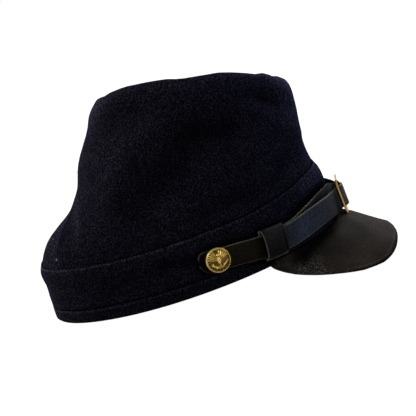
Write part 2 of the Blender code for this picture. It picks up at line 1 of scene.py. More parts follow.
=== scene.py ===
# %% [markdown]
# # A kepi in wool, leather and brass
# This lesson dresses the solid model of a soft military cap. The solids give every piece its place and size.
# Here each one gets the surface that a hand would feel: felted wool, waxed leather and stamped brass.

# %% The fixed frame
from math import atan2, cos, degrees, exp, hypot, pi, radians, sin
from random import Random

import bmesh
import bpy
from mathutils import Matrix, Quaternion, Vector, kdtree, noise
from mathutils.bvhtree import BVHTree


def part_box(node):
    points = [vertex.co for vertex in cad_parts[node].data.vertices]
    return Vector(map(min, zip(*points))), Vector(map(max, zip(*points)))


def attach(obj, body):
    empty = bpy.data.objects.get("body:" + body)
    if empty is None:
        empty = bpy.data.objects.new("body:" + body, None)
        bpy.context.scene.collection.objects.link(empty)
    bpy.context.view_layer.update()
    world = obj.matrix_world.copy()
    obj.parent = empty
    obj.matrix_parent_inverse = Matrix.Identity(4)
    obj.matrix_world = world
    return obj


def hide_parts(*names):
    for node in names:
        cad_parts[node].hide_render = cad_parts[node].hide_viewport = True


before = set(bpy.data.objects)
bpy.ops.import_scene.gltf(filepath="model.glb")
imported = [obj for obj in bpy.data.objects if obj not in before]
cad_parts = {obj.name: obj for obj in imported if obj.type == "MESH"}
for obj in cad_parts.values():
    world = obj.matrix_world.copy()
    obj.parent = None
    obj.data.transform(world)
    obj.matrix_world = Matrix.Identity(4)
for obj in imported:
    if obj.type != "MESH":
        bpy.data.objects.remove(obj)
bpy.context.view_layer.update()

MM = 0.001
print("solids:", ", ".join(sorted(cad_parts)))

# %% [markdown]
# ## The camera
# The cap was photographed from its right side, a little from above, and the picture is turned by some twelve degrees
# against the floor that the cap rests on. Place, aim and roll say that more plainly than three angles.

# %% Camera
CAMERA_PLACE = Vector((-671.4, 17.2, 169.1)) * MM
CAMERA_AIM = Vector((-4.6, 1.4, 50.9)) * MM
CAMERA_ROLL = -11.883

view = bpy.data.cameras.new("camera")
view.lens, view.sensor_width = 85, 36
view.clip_start, view.clip_end = 0.01, 100
camera = bpy.data.objects.new("camera", view)
bpy.context.scene.collection.objects.link(camera)
camera.rotation_mode = "QUATERNION"
camera.rotation_quaternion = ((CAMERA_AIM - CAMERA_PLACE).to_track_quat("-Z", "Y")
                              @ Quaternion((0, 0, 1), radians(CAMERA_ROLL)))
camera.location = CAMERA_PLACE
bpy.context.scene.camera = camera
print("camera", round((CAMERA_AIM - CAMERA_PLACE).length, 3), "m away")

# %% [markdown]
# ## The backdrop
# A studio picture on white has a backdrop that only the camera sees. The world can be told so: a ray from the camera
# meets plain white, a ray from cloth a faint pale light, and a ray from brass a brighter room, because polished metal
# needs something pale to reflect. Nodes are added in one line each by a small helper, which the looks use as well.

# %% Backdrop
AMBIENT = 0.06
STUDIO_SHINE = 0.40                         # what polished things reflect of the pale room
scene = bpy.context.scene
scene.view_settings.view_transform = "Standard"


def add(tree, kind, settings=None, *feeds, **named):
    """A shader node, its settings, and what its inputs hold or are linked to, by order or by name."""
    made = tree.nodes.new("ShaderNode" + kind)
    for key, value in (settings or {}).items():
        setattr(made, key, value)
    wanted = list(enumerate(feeds)) + [(key.replace("_", " "), value) for key, value in named.items()]
    for key, value in wanted:
        if value is None:
            continue
        if isinstance(value, bpy.types.NodeSocket):
            tree.links.new(value, made.inputs[key])
        else:
            made.inputs[key].default_value = value
    return made


def math(tree, operation, *feeds, clamp=False):
    return add(tree, "Math", {"operation": operation, "use_clamp": clamp}, *feeds).outputs[0]


def backdrop():
    world = bpy.data.worlds.new("backdrop")
    scene.world = world
    world.use_nodes = True
    tree = world.node_tree
    tree.nodes.clear()
    seen = add(tree, "Background", None, (1, 1, 1, 1), 1.0)
    light = add(tree, "Background", None, (0.93, 0.96, 1.0, 1), AMBIENT)
    ray = add(tree, "LightPath")
    shine = add(tree, "Background", None, (1, 1, 1, 1), STUDIO_SHINE)
    lit = add(tree, "MixShader", None, ray.outputs["Is Glossy Ray"], light.outputs[0], shine.outputs[0])
    mixed = add(tree, "MixShader", None, ray.outputs["Is Camera Ray"], lit.outputs[0], seen.outputs[0])
    add(tree, "OutputWorld", None, mixed.outputs[0])


backdrop()
print("world:", scene.world.name)

# %% [markdown]
# ## The floor
# The cap lies on a white table. A plain lit disc would turn grey at its far edge, so the table also gives its own
# light to the camera, and vanishes into the backdrop. To cloth it stays a dim surface that holds the soft shadows.

# %% Floor
FLOOR_RADIUS = 30.0
TABLE_GLOW = 1.0


def floor():
    bm = bmesh.new()
    bmesh.ops.create_circle(bm, cap_ends=True, segments=64, radius=FLOOR_RADIUS)
    mesh = bpy.data.meshes.new("floor")
    bm.to_mesh(mesh)
    bm.free()
    made = bpy.data.objects.new("floor", mesh)
    scene.collection.objects.link(made)
    paint = bpy.data.materials.new("pale_floor")
    paint.use_nodes = True
    tree = paint.node_tree
    shader = tree.nodes["Principled BSDF"]
    shader.inputs["Base Color"].default_value = (0.2, 0.2, 0.2, 1)
    shader.inputs["Roughness"].default_value = 0.9
    shader.inputs["Specular IOR Level"].default_value = 0.0
    lit = add(tree, "Emission", None, (1, 1, 1, 1), 1.0)
    ray = add(tree, "LightPath")
    share = math(tree, "MULTIPLY", ray.outputs["Is Camera Ray"], TABLE_GLOW)
    share = math(tree, "MULTIPLY_ADD", ray.outputs["Is Glossy Ray"], STUDIO_SHINE, share)
    glow = add(tree, "MixShader", None, share, None, lit.outputs[0])
    mixed = add(tree, "AddShader", None, shader.outputs[0], glow.outputs[0])
    tree.links.new(mixed.outputs[0], tree.nodes["Material Output"].inputs[0])
    mesh.materials.append(paint)


floor()
print("floor of radius", FLOOR_RADIUS, "m")

# %% [markdown]
# ## Lit screens
# Black cloth shows its folds only in light that grazes it. Two wide lit screens stand behind the cap, to the left and
# to the right, so the side that the camera sees is the darker one and its edges are bright. Two weak ones fill in.
# A sun with a wide angle does the same as a screen and is quicker to render, as its distance plays no part.

# %% Lit screens
SCREENS = [                                 # name, azimuth, elevation, energy, how many degrees wide
    ("screen_back_left", 142, 12, 2.6, 30),
    ("screen_back_right", 60, 38, 2.3, 30),
    ("screen_left", 200, 34, 0.7, 25),
    ("screen_front", 330, 12, 0.4, 30),
]


def screen(name, azimuth, elevation, energy, wide):
    """A wide soft light far away: azimuth 0 is in front of the cap, 90 on the wearer's left, 180 behind."""
    data = bpy.data.lights.new(name, "SUN")
    data.energy, data.angle = energy, radians(wide)
    made = bpy.data.objects.new(name, data)
    scene.collection.objects.link(made)
    turn, rise = radians(azimuth), radians(elevation)
    made.location = (sin(turn) * cos(rise), -cos(turn) * cos(rise), sin(rise))
    made.rotation_euler = (-made.location).to_track_quat("-Z", "Y").to_euler()


for row in SCREENS:
    screen(*row)
print(len(SCREENS), "lit screens round the cap")

# %% [markdown]
# ## The cap's own frame
# The cap rests on its back rim and its peak, so its rim is tilted against the floor. Heights over the rim and turns
# round the head are easier to say in a frame of its own, in millimetres. One matrix leads there and one leads back.

# %% The cap's own frame
HAT_TILT, HAT_PLACE = 7.598, Vector((0.0, 16.577, 14.354))
TO_HAT = Matrix.Rotation(radians(HAT_TILT), 3, "X")
FROM_HAT = Matrix.Rotation(radians(-HAT_TILT), 3, "X")


def in_hat(point):
    """A place in millimetres in the cap's own frame: rim at z = 0, front at -y, wearer's right at -x."""
    return TO_HAT @ (point / MM - HAT_PLACE)


print("the resting cap is tilted by", HAT_TILT, "degrees")

# %% [markdown]
# ## From a solid to a workpiece
# A solid comes as loose triangles. A copy of it is merged, its triangles are joined to quads again, and rounds of
# subdivision smooth it. Cloth gets no crease, so its edges go round by themselves. Cut leather keeps its arrises.

# %% Workpieces
def merged(node):
    bm = bmesh.new()
    bm.from_mesh(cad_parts[node].data)
    bmesh.ops.remove_doubles(bm, verts=bm.verts[:], dist=0.01 * MM)
    bmesh.ops.join_triangles(bm, faces=bm.faces[:], angle_face_threshold=radians(50),
                             angle_shape_threshold=radians(80))
    return bm


def rounded(bm, name, rounds, crease_over):
    """The mesh after rounds of subdivision surface, with the sharper edges creased."""
    crease = bm.edges.layers.float.new("crease_edge")
    for edge in bm.edges:
        if len(edge.link_faces) == 2 and edge.calc_face_angle(0.0) > radians(crease_over):
            edge[crease] = 1.0
    rough = bpy.data.meshes.new(name + "_rough")
    bm.to_mesh(rough)
    bm.free()
    holder = bpy.data.objects.new(name + "_rough", rough)
    scene.collection.objects.link(holder)
    smooth = holder.modifiers.new("rounds", "SUBSURF")
    smooth.levels = smooth.render_levels = rounds
    graph = bpy.context.evaluated_depsgraph_get()
    mesh = bpy.data.meshes.new_from_object(holder.evaluated_get(graph))
    mesh.name = name
    bpy.data.objects.remove(holder)
    bpy.data.meshes.remove(rough)
    mesh.shade_smooth()
    return mesh


print("workpieces come from solids by merged() and rounded()")

# %% [markdown]
# ## Tables and soft steps
# Much of a worn shape is best said as a short table: at this height, so many millimetres. A table is read on straight
# lines between its rows, and a soft step says where its effect begins and ends, so that no edge shows in the cloth.

# %% Tables and soft steps
def share_of(low, high, value):
    """How far a value has come from low to high, from 0 to 1."""
    return min(max((value - low) / (high - low), 0.0), 1.0)


def along(table, value):
    """What a table of pairs says at a value, on straight lines between its rows."""
    for (low, first), (high, second) in zip(table, table[1:]):
        if value <= high:
            return first + (second - first) * share_of(low, high, value)
    return table[-1][1]


def ease(low, high, value):
    """A soft step from 0 at low to 1 at high, which may also be the smaller one."""
    share = share_of(low, high, value)
    return share * share * (3 - 2 * share)


print("halfway up a soft step:", ease(0, 10, 5))

# %% [markdown]
# ## Wear in the outline
# A cap that has been worn and packed is never as even as its pattern. The back of the head band stands out in soft
# steps, and the edge of the top has slumped into low waves. Two small tables hold those, and every wool piece that
# they touch is moved by the same function, so that the seams stay closed.

# %% Worn outline
HEAD_WIDE, HEAD_LONG = 85, 102              # half the head band's width and length outside, in millimetres
BACK_BULGE = [                              # height, how far the back stands out
    (0, 2.7), (5, 2.4), (9, 2.1), (14, 1.8), (19, 1.2), (23, 1.1), (28, 1.7), (31, 1.7), (35, 1.0), (39, 0.4),
    (43, 0.7), (48, 0.75), (54, 0.0), (61, 0.0), (67, 0.2), (74, -0.7), (78, -1.0), (83, -0.5), (89, 0.35),
    (97, 0.4), (103, -0.2), (109, -0.7), (114, -0.6), (120, 0.4), (124, 0.4)]
TOP_EDGE = [                                # from front to back, the height of the top's edge
    (-98, 98), (-93, 102), (-77, 110), (-57, 118), (-43, 123), (-28, 126), (-13, 128), (8, 129), (23, 127), (36, 121)]
TOP_WAVES = [                               # from front to back, how far the edge has moved up
    (-97, 0.3), (-92, -0.2), (-88, 0.6), (-82, 1.9), (-77, 0.6), (-70, 0.8), (-62, 0.9), (-54, 0.7), (-47, -0.3),
    (-43, -0.7), (-38, -1.1), (-33, -1.4), (-28, -1.1), (-23, -0.2), (-13, 0.5), (-3, 1.2), (3, 1.8), (8, 1.85),
    (14, 1.6), (20, 0.7), (26, 0.0), (34, -0.3), (40, -0.7), (47, -0.7), (54, 0.0)]
FAR_WAVES_FROM, FAR_WAVES = -75, 0.6        # the far side has the same waves, turned end to end and lower
SEAM_HEIGHT = [                             # turn round the head from the back, height of the seam under the crown
    (0, 36.4), (34, 35.9), (58, 35.0), (80, 34.2), (100, 34.4), (113, 34.2), (130, 36.2), (150, 39.6), (165, 40.9),
    (180, 41.2)]


def worn(spot):
    """How far wear has moved the cloth at a place, in millimetres."""
    out = along(BACK_BULGE, spot.z) * max(ease(55, 95, spot.y), ease(60, 76, spot.z) * ease(0, 25, spot.y))
    y, share = (spot.y, 1.0) if spot.x < 0 else (FAR_WAVES_FROM - spot.y, FAR_WAVES)
    edge = along(TOP_EDGE, spot.y)
    up = along(TOP_WAVES, y) * share * ease(edge - 16, edge - 4, spot.z) * ease(6, 32, abs(spot.x))
    return Vector((0, out, up))


def over_seam(spot):
    """The height of a place over the seam between head band and crown, in metres."""
    turn = degrees(atan2(abs(spot.x) / HEAD_WIDE, spot.y / HEAD_LONG))
    return (spot.z - along(SEAM_HEIGHT, turn)) * MM


def wear_down(mesh, overlap):
    """Moves a mesh with the wear, and lets its edge at the seam reach into its neighbour's, as sewn cloth does."""
    for vertex in mesh.vertices:
        spot = in_hat(vertex.co)
        reach = overlap * (1 - ease(0.3, 1.6, abs(over_seam(spot)) / MM))
        vertex.co += worn(spot) * MM + Vector((0, 0, reach)) * MM
    mesh.update()


print("the back stands out by up to", max(out for height, out in BACK_BULGE), "mm")

# %% [markdown]
# ## A few words for shaders
# Noise is the raw stuff of every surface here, and a soft ramp makes a mask of it: all that lies above this becomes 1,
# all below that 0. What more than one look needs goes into a node group, which is drawn once and used by name.

# %% Shader words
def new_group(name, inputs, outputs):
    tree = bpy.data.node_groups.new(name, "ShaderNodeTree")
    for label, kind, value in inputs:
        socket = tree.interface.new_socket(label, in_out="INPUT", socket_type="NodeSocket" + kind)
        socket.default_value = value
    for label, kind in outputs:
        tree.interface.new_socket(label, in_out="OUTPUT", socket_type="NodeSocket" + kind)
    return tree, tree.nodes.new("NodeGroupInput"), tree.nodes.new("NodeGroupOutput")


def ramp(tree, value, low, high, to_low=0.0, to_high=1.0):
    """Maps low..high smoothly to to_low..to_high."""
    made = add(tree, "MapRange", {"interpolation_type": "SMOOTHSTEP"}, value, low, high, to_low, to_high)
    return made.outputs[0]


def cloud(tree, place, scale, detail, **named):
    """Noise with so many waves to the metre, around one half."""
    return add(tree, "TexNoise", None, place, Scale=scale, Detail=detail, **named).outputs[0]


print("shader words: new_group, ramp, cloud")

# %% [markdown]
# ## Felted wool
# Melton is woven, then milled until the weave disappears under a nap of short fibres. Seen close, it is nearly black
# with paler fibres lying every way over it. Stretched noise in three directions gives the fibres, a finer round noise
# the flecks between them. The group puts out masks and a height, and the material decides what they do.

# %% Wool nap group
def wool_nap():
    tree, given, out = new_group("wool_nap", [("Flecks per metre", "Float", 1000.0)],
                                 [("Fleck", "Float"), ("Shade", "Float"), ("Height", "Float"), ("Dye", "Color")])
    place = add(tree, "TexCoord").outputs["Object"]
    flecks = cloud(tree, place, given.outputs[0], 1.0, Roughness=0.6)
    broad = cloud(tree, place, 90.0, 3.0, Roughness=0.6)
    fibre = None
    for turn in ((0.3, 0.2, 0.9), (1.3, 0.9, 0.1), (0.2, 1.4, 2.2)):
        laid = add(tree, "Mapping", None, place, None, turn, (0.22, 1.0, 1.0)).outputs[0]
        streak = ramp(tree, cloud(tree, laid, 2600.0, 1.0), 0.60, 0.72)
        fibre = streak if fibre is None else math(tree, "MAXIMUM", fibre, streak)
    speck = ramp(tree, flecks, 0.25, 0.75, -1.0, 1.0)
    tree.links.new(math(tree, "ADD", speck, math(tree, "MULTIPLY", fibre, 0.5)), out.inputs["Fleck"])
    tree.links.new(ramp(tree, broad, 0.3, 0.7), out.inputs["Shade"])
    lift = math(tree, "ADD", flecks, math(tree, "MULTIPLY", fibre, 0.5))
    tree.links.new(lift, out.inputs["Height"])
    strand = add(tree, "TexNoise", None, place, Scale=1500.0, Detail=0.0).outputs[1]
    dye = add(tree, "VectorMath", {"operation": "MULTIPLY_ADD"}, strand, (0.5, 0.5, 0.9), (0.75, 0.75, 0.55)).outputs[0]
    tree.links.new(dye, out.inputs["Dye"])
    return tree


NAP = wool_nap()
print("wool nap group with", len(NAP.nodes), "nodes")

# %% [markdown]
# ## Sewn lines
# A sewn line pulls the cloth down into a thin dark ditch, and the cloth on both sides swells up against it. The
# pieces carry their distance from such a line as a value on each point, and this group turns it into that profile.

# %% Sewn line group
def sewn_line():
    tree, given, out = new_group("sewn_line", [("Away", "Float", 1.0), ("Ditch", "Float", 0.0006)],
                                 [("Dark", "Float"), ("Height", "Float")])
    away = math(tree, "ABSOLUTE", given.outputs["Away"])
    ditch = given.outputs["Ditch"]
    dark = math(tree, "SUBTRACT", 1.0, ramp(tree, away, math(tree, "MULTIPLY", ditch, 0.3), ditch))
    swell_in = ramp(tree, away, ditch, math(tree, "MULTIPLY", ditch, 2.0))
    swell_out = ramp(tree, away, math(tree, "MULTIPLY", ditch, 2.5), math(tree, "MULTIPLY", ditch, 7.0), 1.0, 0.0)
    swell = math(tree, "MULTIPLY", swell_in, swell_out)
    tree.links.new(dark, out.inputs["Dark"])
    tree.links.new(math(tree, "SUBTRACT", math(tree, "MULTIPLY", swell, 0.5), dark), out.inputs["Height"])
    return tree


SEWN = sewn_line()
print("sewn line group with", len(SEWN.nodes), "nodes")

# %% [markdown]
# ## Marks and stops
# A piece hands its own values to its look by name. Marks are counted in stops: one stop doubles the light, as on a
# camera, so a mark keeps its strength on dark cloth and on pale cloth alike, and marks that overlap simply add up.

# %% Marks and stops
def use_group(tree, group, **values):
    made = tree.nodes.new("ShaderNodeGroup")
    made.node_tree = group
    for key, value in values.items():
        socket = made.inputs[key.replace("_", " ")]
        if isinstance(value, bpy.types.NodeSocket):
            tree.links.new(value, socket)
        else:
            socket.default_value = value
    return made


def tint(tree, share, low, high):
    """A colour between two, by a share."""
    made = add(tree, "Mix", {"data_type": "RGBA"}, share)
    for index, colour in ((6, low), (7, high)):
        if isinstance(colour, bpy.types.NodeSocket):
            tree.links.new(colour, made.inputs[index])
        else:
            made.inputs[index].default_value = (*colour, 1)
    return made.outputs[2]


def point_value(tree, name):
    """What a piece carries on its points under a name."""
    return add(tree, "Attribute", {"attribute_name": name}).outputs["Fac"]


def band_between(tree, value, rise, fall, strength):
    """The strength where a value lies between two soft steps, and 0 outside them."""
    return math(tree, "MULTIPLY", ramp(tree, value, *rise), ramp(tree, value, *fall, strength, 0.0))


def by_stops(tree, colour, stops):
    """A colour made brighter by some stops, or darker where they are negative."""
    return add(tree, "VectorMath", {"operation": "SCALE"}, colour, Scale=math(tree, "POWER", 2.0, stops)).outputs[0]


print("shader words: use_group, tint, point_value, band_between, by_stops")

# %% [markdown]
# ## The look of the wool
# The ground colour is warmer at the back and bluer in front. Over it come the flecks, the painted light and shade of
# the folds, and at the seam under the crown a painted highlight on the ridge below and a painted shadow above. Seen
# edge on, the fuzz catches the light, and that sheen is painted into the colour. Hair by hair the nap would take
# millions of strands, and one look for all three wool pieces keeps their seams unbroken.

# %% Wool look
def new_look(name, roughness, specular, metallic=0.0):
    made = bpy.data.materials.new(name)
    made.use_nodes = True
    shader = made.node_tree.nodes["Principled BSDF"]
    shader.inputs["Roughness"].default_value = roughness
    shader.inputs["Specular IOR Level"].default_value = specular
    shader.inputs["Metallic"].default_value = metallic
    return made, made.node_tree, shader


FLECK_STOPS = 1.75
RIDGE_HIGHLIGHT_STOPS, SHADOW_STOPS = 1.5, -2.2       # the seam under the crown: a painted highlight on the ridge below, a painted shadow above
SWELL_HIGHLIGHT_STOPS = 0.9                          # painted highlight on the swelling beside the seam that closes the crown
RIM_SHEEN_STOPS = 0.6                             # painted sheen of the fuzz where the cloth is seen edge on


def navy_wool():
    look, tree, shader = new_look("navy_wool_melton", 1.0, 0.0)
    nap = use_group(tree, NAP, Flecks_per_metre=1000.0)
    place = add(tree, "TexCoord").outputs["Object"]
    depth = add(tree, "SeparateXYZ", None, place).outputs[1]
    back = ramp(tree, depth, -0.11, 0.05)
    ground = tint(tree, back, (0.0127, 0.0133, 0.0268), (0.0120, 0.0109, 0.0163))
    ground = tint(tree, math(tree, "MULTIPLY", nap.outputs["Shade"], 0.4), ground, (0.006, 0.006, 0.011))
    away = point_value(tree, "seam_away")
    line = use_group(tree, SEWN, Away=away, Ditch=0.0007)
    broken = ramp(tree, cloud(tree, place, 420.0, 1.0), 0.38, 0.62, 0.65, 1.0)
    dark = math(tree, "MULTIPLY", line.outputs["Dark"], math(tree, "MULTIPLY", broken, 0.75))
    cloth = tint(tree, dark, ground, (0.0006, 0.0006, 0.0010))
    over = point_value(tree, "over_seam")
    # painted highlight on the ridge under the crown's seam, and painted shadow above it
    ridge_highlight = band_between(tree, over, (-0.0016, -0.0010), (-0.0006, -0.0001), RIDGE_HIGHLIGHT_STOPS)
    ridge_highlight = math(tree, "MULTIPLY", ridge_highlight, ramp(tree, back, 0.0, 1.0, 0.5, 1.0))
    shadow = band_between(tree, over, (-0.0003, 0.0001), (0.0008, 0.0016), SHADOW_STOPS)
    shadow = math(tree, "MULTIPLY", shadow, ramp(tree, depth, 0.02, 0.095, 0.95, 0.25))
    # painted highlight on the swelling beside a sewn seam
    painted_light_beside = band_between(tree, away, (-0.0024, -0.0012), (-0.0008, -0.0003), SWELL_HIGHLIGHT_STOPS)
    seam_light_and_shade = math(tree, "ADD", ridge_highlight, math(tree, "ADD", shadow, painted_light_beside))
    stops = math(tree, "MULTIPLY_ADD", nap.outputs["Fleck"], FLECK_STOPS, point_value(tree, "painted_light_and_shade"))
    stops = math(tree, "ADD", stops, math(tree, "MULTIPLY", seam_light_and_shade, broken))
    # painted sheen: the colour grows paler where the cloth is seen edge on
    facing = add(tree, "LayerWeight", None, 0.5).outputs["Facing"]
    stops = math(tree, "ADD", stops, ramp(tree, facing, 0.55, 0.92, 0.0, RIM_SHEEN_STOPS))
    cloth = by_stops(tree, cloth, stops)
    dyed = tint(tree, ramp(tree, nap.outputs["Fleck"], -1.0, 1.2), (1.0, 0.88, 1.30), (0.98, 1.045, 0.91))
    for dye in (dyed, nap.outputs["Dye"]):
        cloth = add(tree, "VectorMath", {"operation": "MULTIPLY"}, cloth, dye).outputs[0]
    tree.links.new(cloth, shader.inputs["Base Color"])
    fine = add(tree, "Bump", None, Strength=0.6, Distance=0.0004, Height=nap.outputs["Height"])
    sewn = add(tree, "Bump", None, Strength=0.8, Distance=0.0008, Height=line.outputs["Height"],
               Normal=fine.outputs[0])
    tree.links.new(sewn.outputs[0], shader.inputs["Normal"])
    return look


WOOL = navy_wool()
print("wool look with", len(WOOL.node_tree.nodes), "nodes")

# %% [markdown]
# ## Lines drawn on the side view
# Folds, seams and rubbed places are all said as lines of a few points on the cap's side view, with y to the back and z
# up, in millimetres. What matters to a point of the mesh is how far it lies from such a line, and on which side.

# %% Lines on the side view
BACK_SEAM = [                               # height, turn from the back: the seam that closes the crown's tube
    (36, 33), (46, 31), (52, 28.5), (58, 23), (64, 17), (75, 11), (90, 7), (110, 4), (130, 2)]


def from_back_seam(spot):
    """How far round the crown a place lies from the seam that closes its tube, in millimetres."""
    turn = degrees(atan2(-spot.x / HEAD_WIDE, spot.y / HEAD_LONG))
    return radians(turn - along(BACK_SEAM, spot.z)) * hypot(spot.x, spot.y)


def away_from_line(y, z, points):
    """The signed distance from a line of points in the side view."""
    line = [Vector(point) for point in points]
    best, side = 1e9, 1.0
    for start, end in zip(line, line[1:]):
        leg = end - start
        share = share_of(0.0, leg.length_squared, (y - start.x) * leg.x + (z - start.y) * leg.y)
        near = start + leg * share
        gap = hypot(y - near.x, z - near.y)
        if gap < best:
            best = gap
            side = 1.0 if leg.x * (z - near.y) - leg.y * (y - near.x) > 0 else -1.0
    return best * side


def stroke(spot, points, wide):
    """A soft stroke of the brush along a line: 1 on it, and less the further away."""
    return exp(-(away_from_line(spot.y, spot.z, points) / wide) ** 2)


def laid(spot, strokes):
    """The sum of soft strokes, each with its points, width and strength."""
    return sum(strength * stroke(spot, points, wide) for points, wide, strength in strokes)


def slack(mesh, depth, size, hold):
    """Moves the points in and out by a soft noise, less where hold is small."""
    normals = [vertex.normal.copy() for vertex in mesh.vertices]
    for vertex, normal in zip(mesh.vertices, normals):
        place = vertex.co / MM
        wave = noise.noise(place / size) + 0.5 * noise.noise(place / (size * 0.45) + Vector((7, 3, 5)))
        vertex.co += normal * (wave * depth * hold(in_hat(vertex.co))) * MM


print("the crown's back seam has", len(BACK_SEAM), "points")

# %% [markdown]
# ## The crown's folds
# The crown is one tube of wool, shaped over a block and then slumped by wear. The solid holds its large folds already,
# so this table only adds what a solid is too coarse for. A cloth simulation would find folds of its own and not the
# ones that this cap has taken, and a line in a table can be checked and moved. The far side, which was never seen, gets
# the same folds a little flatter, further forward and higher.

# %% Folds
RELIEF, FAR_RELIEF = 1.1, 0.7
FAR_SHIFT = Vector((0, 7, -4))              # from a place on the far side to the one whose folds it borrows
FOLDS = [                                   # a line of points, how wide the fold is, how far out (or in) it stands
    ([(-51, 83), (-33, 78), (-14, 72), (1, 66), (13, 61), (28, 54)], 8.0, -1.2),
    ([(-64, 68), (-38, 66), (-12, 59), (10, 50)], 7.0, 1.0),
    ([(-10, 112), (11, 101), (25, 86), (38, 67)], 11.0, 1.2),
    ([(-75, 56), (-60, 50), (-46, 47), (-24, 48)], 5.0, -1.0),
    ([(-29, 42), (-26, 41)], 4.0, 0.9),
    ([(-70, 98), (-83, 82), (-93, 65)], 4.5, 1.2),
    ([(-76, 98), (-82, 95)], 5.0, -1.6),
    ([(-20, 90), (-47, 81), (-72, 70)], 4.0, -0.7),
    ([(64, 64), (75, 56), (77, 42)], 3.5, 1.0),
    ([(-18, 104), (-38, 91), (-57, 90)], 8.0, 0.8),
]


def fold_out(spot):
    """How far the folds push a place out, in millimetres."""
    if spot.x < 0:
        return RELIEF * laid(spot, FOLDS)
    return FAR_RELIEF * RELIEF * laid(spot + FAR_SHIFT, FOLDS)


print(len(FOLDS), "folds")

# %% [markdown]
# ## Painted light and shade on the folds
# The light and shade of the folds is painted into the wool: paler strokes where a fold faces the light, darker ones
# where it turns away, and the shadow of the strap on the band. That could be painted on the mesh by hand. A second
# table of strokes is shorter, stays sharp at any fineness of the mesh, and counts in the same stops as every other
# mark.

# %% Nap
PAINTED_LIGHT_STROKES = [                                # a line of points, how wide the mark is, by how many stops of painted light; negative ones are painted shade
    ([(-31, 94), (-44, 89)], 10.0, -1.1),
    ([(-20, 90), (-10, 78), (10, 69), (25, 61)], 10.0, -0.9),
    ([(-5, 110), (12, 102), (21, 96), (32, 83)], 7.0, 0.5),
    ([(9, 123), (22, 119)], 9.0, -0.5),
    ([(-29, 86), (-46, 79), (-74, 67)], 2.5, 0.35),
    ([(-49, 47), (-31, 46), (-14, 45)], 4.5, -0.7),
    ([(-28, 56), (-10, 53), (8, 53)], 6.0, 0.35),
    ([(-26, 40), (-34, 39)], 3.5, 0.6),
    ([(-68, 97), (-80, 84), (-94, 64)], 3.5, 0.5),
    ([(-70, 102), (-84, 89)], 3.5, -0.7),
    ([(-74, 55), (-65, 46)], 4.0, -0.35),
    ([(60, 70), (69, 46)], 3.0, 0.3),
    ([(68, 65), (71, 52)], 3.0, -0.35),
    ([(-93, 96), (-94, 84)], 8.0, 0.4),
    ([(-3, 21), (9, 23), (17, 24)], 3.5, -1.0),
    ([(17, 24), (36, 22), (56, 20)], 4.0, -0.45),
    ([(-68, 24), (-76, 25.5), (-87, 27.5), (-96, 29)], 2.5, -0.9),
    ([(-82, 33), (-96, 37)], 5.0, 0.5),
    ([(62.8, 61), (62, 59), (63.5, 56.5)], 1.6, 0.8),
]


def painted_light_and_shade(spot):
    """How many stops of painted light lie on the wool at a place; painted shade is negative."""
    return laid(spot if spot.x < 0 else spot + FAR_SHIFT, PAINTED_LIGHT_STROKES)


print(len(PAINTED_LIGHT_STROKES), "strokes of painted light and shade")

# %% [markdown]
# ## A finished piece
# A finished mesh carries values on its points, has one look, rides on the cap and stands for its solid. Wool pieces
# all need the same three values and the same wear, so one function dresses them.

# %% Finished pieces
def write_attribute(mesh, name, values):
    layer = mesh.attributes.new(name, "FLOAT", "POINT")
    layer.data.foreach_set("value", values)


def piece(name, mesh, look, node=None):
    """Makes a mesh a finished piece with the look it is given, and may stand for a solid."""
    made = bpy.data.objects.new(name, mesh)
    scene.collection.objects.link(made)
    mesh.materials.clear()
    mesh.materials.append(look)
    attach(made, "root")
    if node:
        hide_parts(node)
    print(name, len(mesh.polygons), "faces")


def dress_in_wool(mesh, node, seam_away, nap, overlap=0.0):
    """Gives a finished mesh its values and makes it the piece that stands for a solid."""
    write_attribute(mesh, "seam_away", seam_away)
    write_attribute(mesh, "over_seam", [over_seam(in_hat(vertex.co)) for vertex in mesh.vertices])
    # the nap values are painted light and shade, in stops
    write_attribute(mesh, "painted_light_and_shade", nap)
    wear_down(mesh, overlap)
    piece(mesh.name, mesh, WOOL, node)


print("wool pieces carry seam_away, over_seam and rubbed")

# %% [markdown]
# ## The crown
# Folds push the cloth level with the floor of the cap, and less near the sewn seam and in the middle of front and back.
# A soft noise then gives it slack, so that no stretch of cloth is as smooth as metal. Beside the seam at the back the
# cloth is painted darker as shade, and a painted highlight lies before that seam and along the upper edge.

# %% Crown
SLACK_DEPTH, SLACK_SIZE = 0.35, 16.0
# stops: painted shade beside the back seam, painted highlight before it and along the upper edge
SHADE_BESIDE_SEAM, HIGHLIGHT_BEFORE_SEAM, EDGE_HIGHLIGHT = -0.8, 0.35, 0.8         # stops
CROWN_REACH, BAND_REACH = -0.9, 0.4         # how far the edges at the seam reach over each other


def crown_painted_light(spot, gap):
    """The painted light and shade on the crown in stops, with its seam so many millimetres away."""
    # deep is painted shade, pale and edge are painted highlights
    deep = exp(-((gap - 4.5) / 3.5) ** 2) * ease(40, 47, spot.z) * ease(70, 60, spot.z)
    pale = exp(-((gap + 7) / 6) ** 2) * ease(70, 60, spot.z)
    edge = stroke(spot, TOP_EDGE, 6)
    return painted_light_and_shade(spot) + SHADE_BESIDE_SEAM * deep + HIGHLIGHT_BEFORE_SEAM * pale + EDGE_HIGHLIGHT * edge


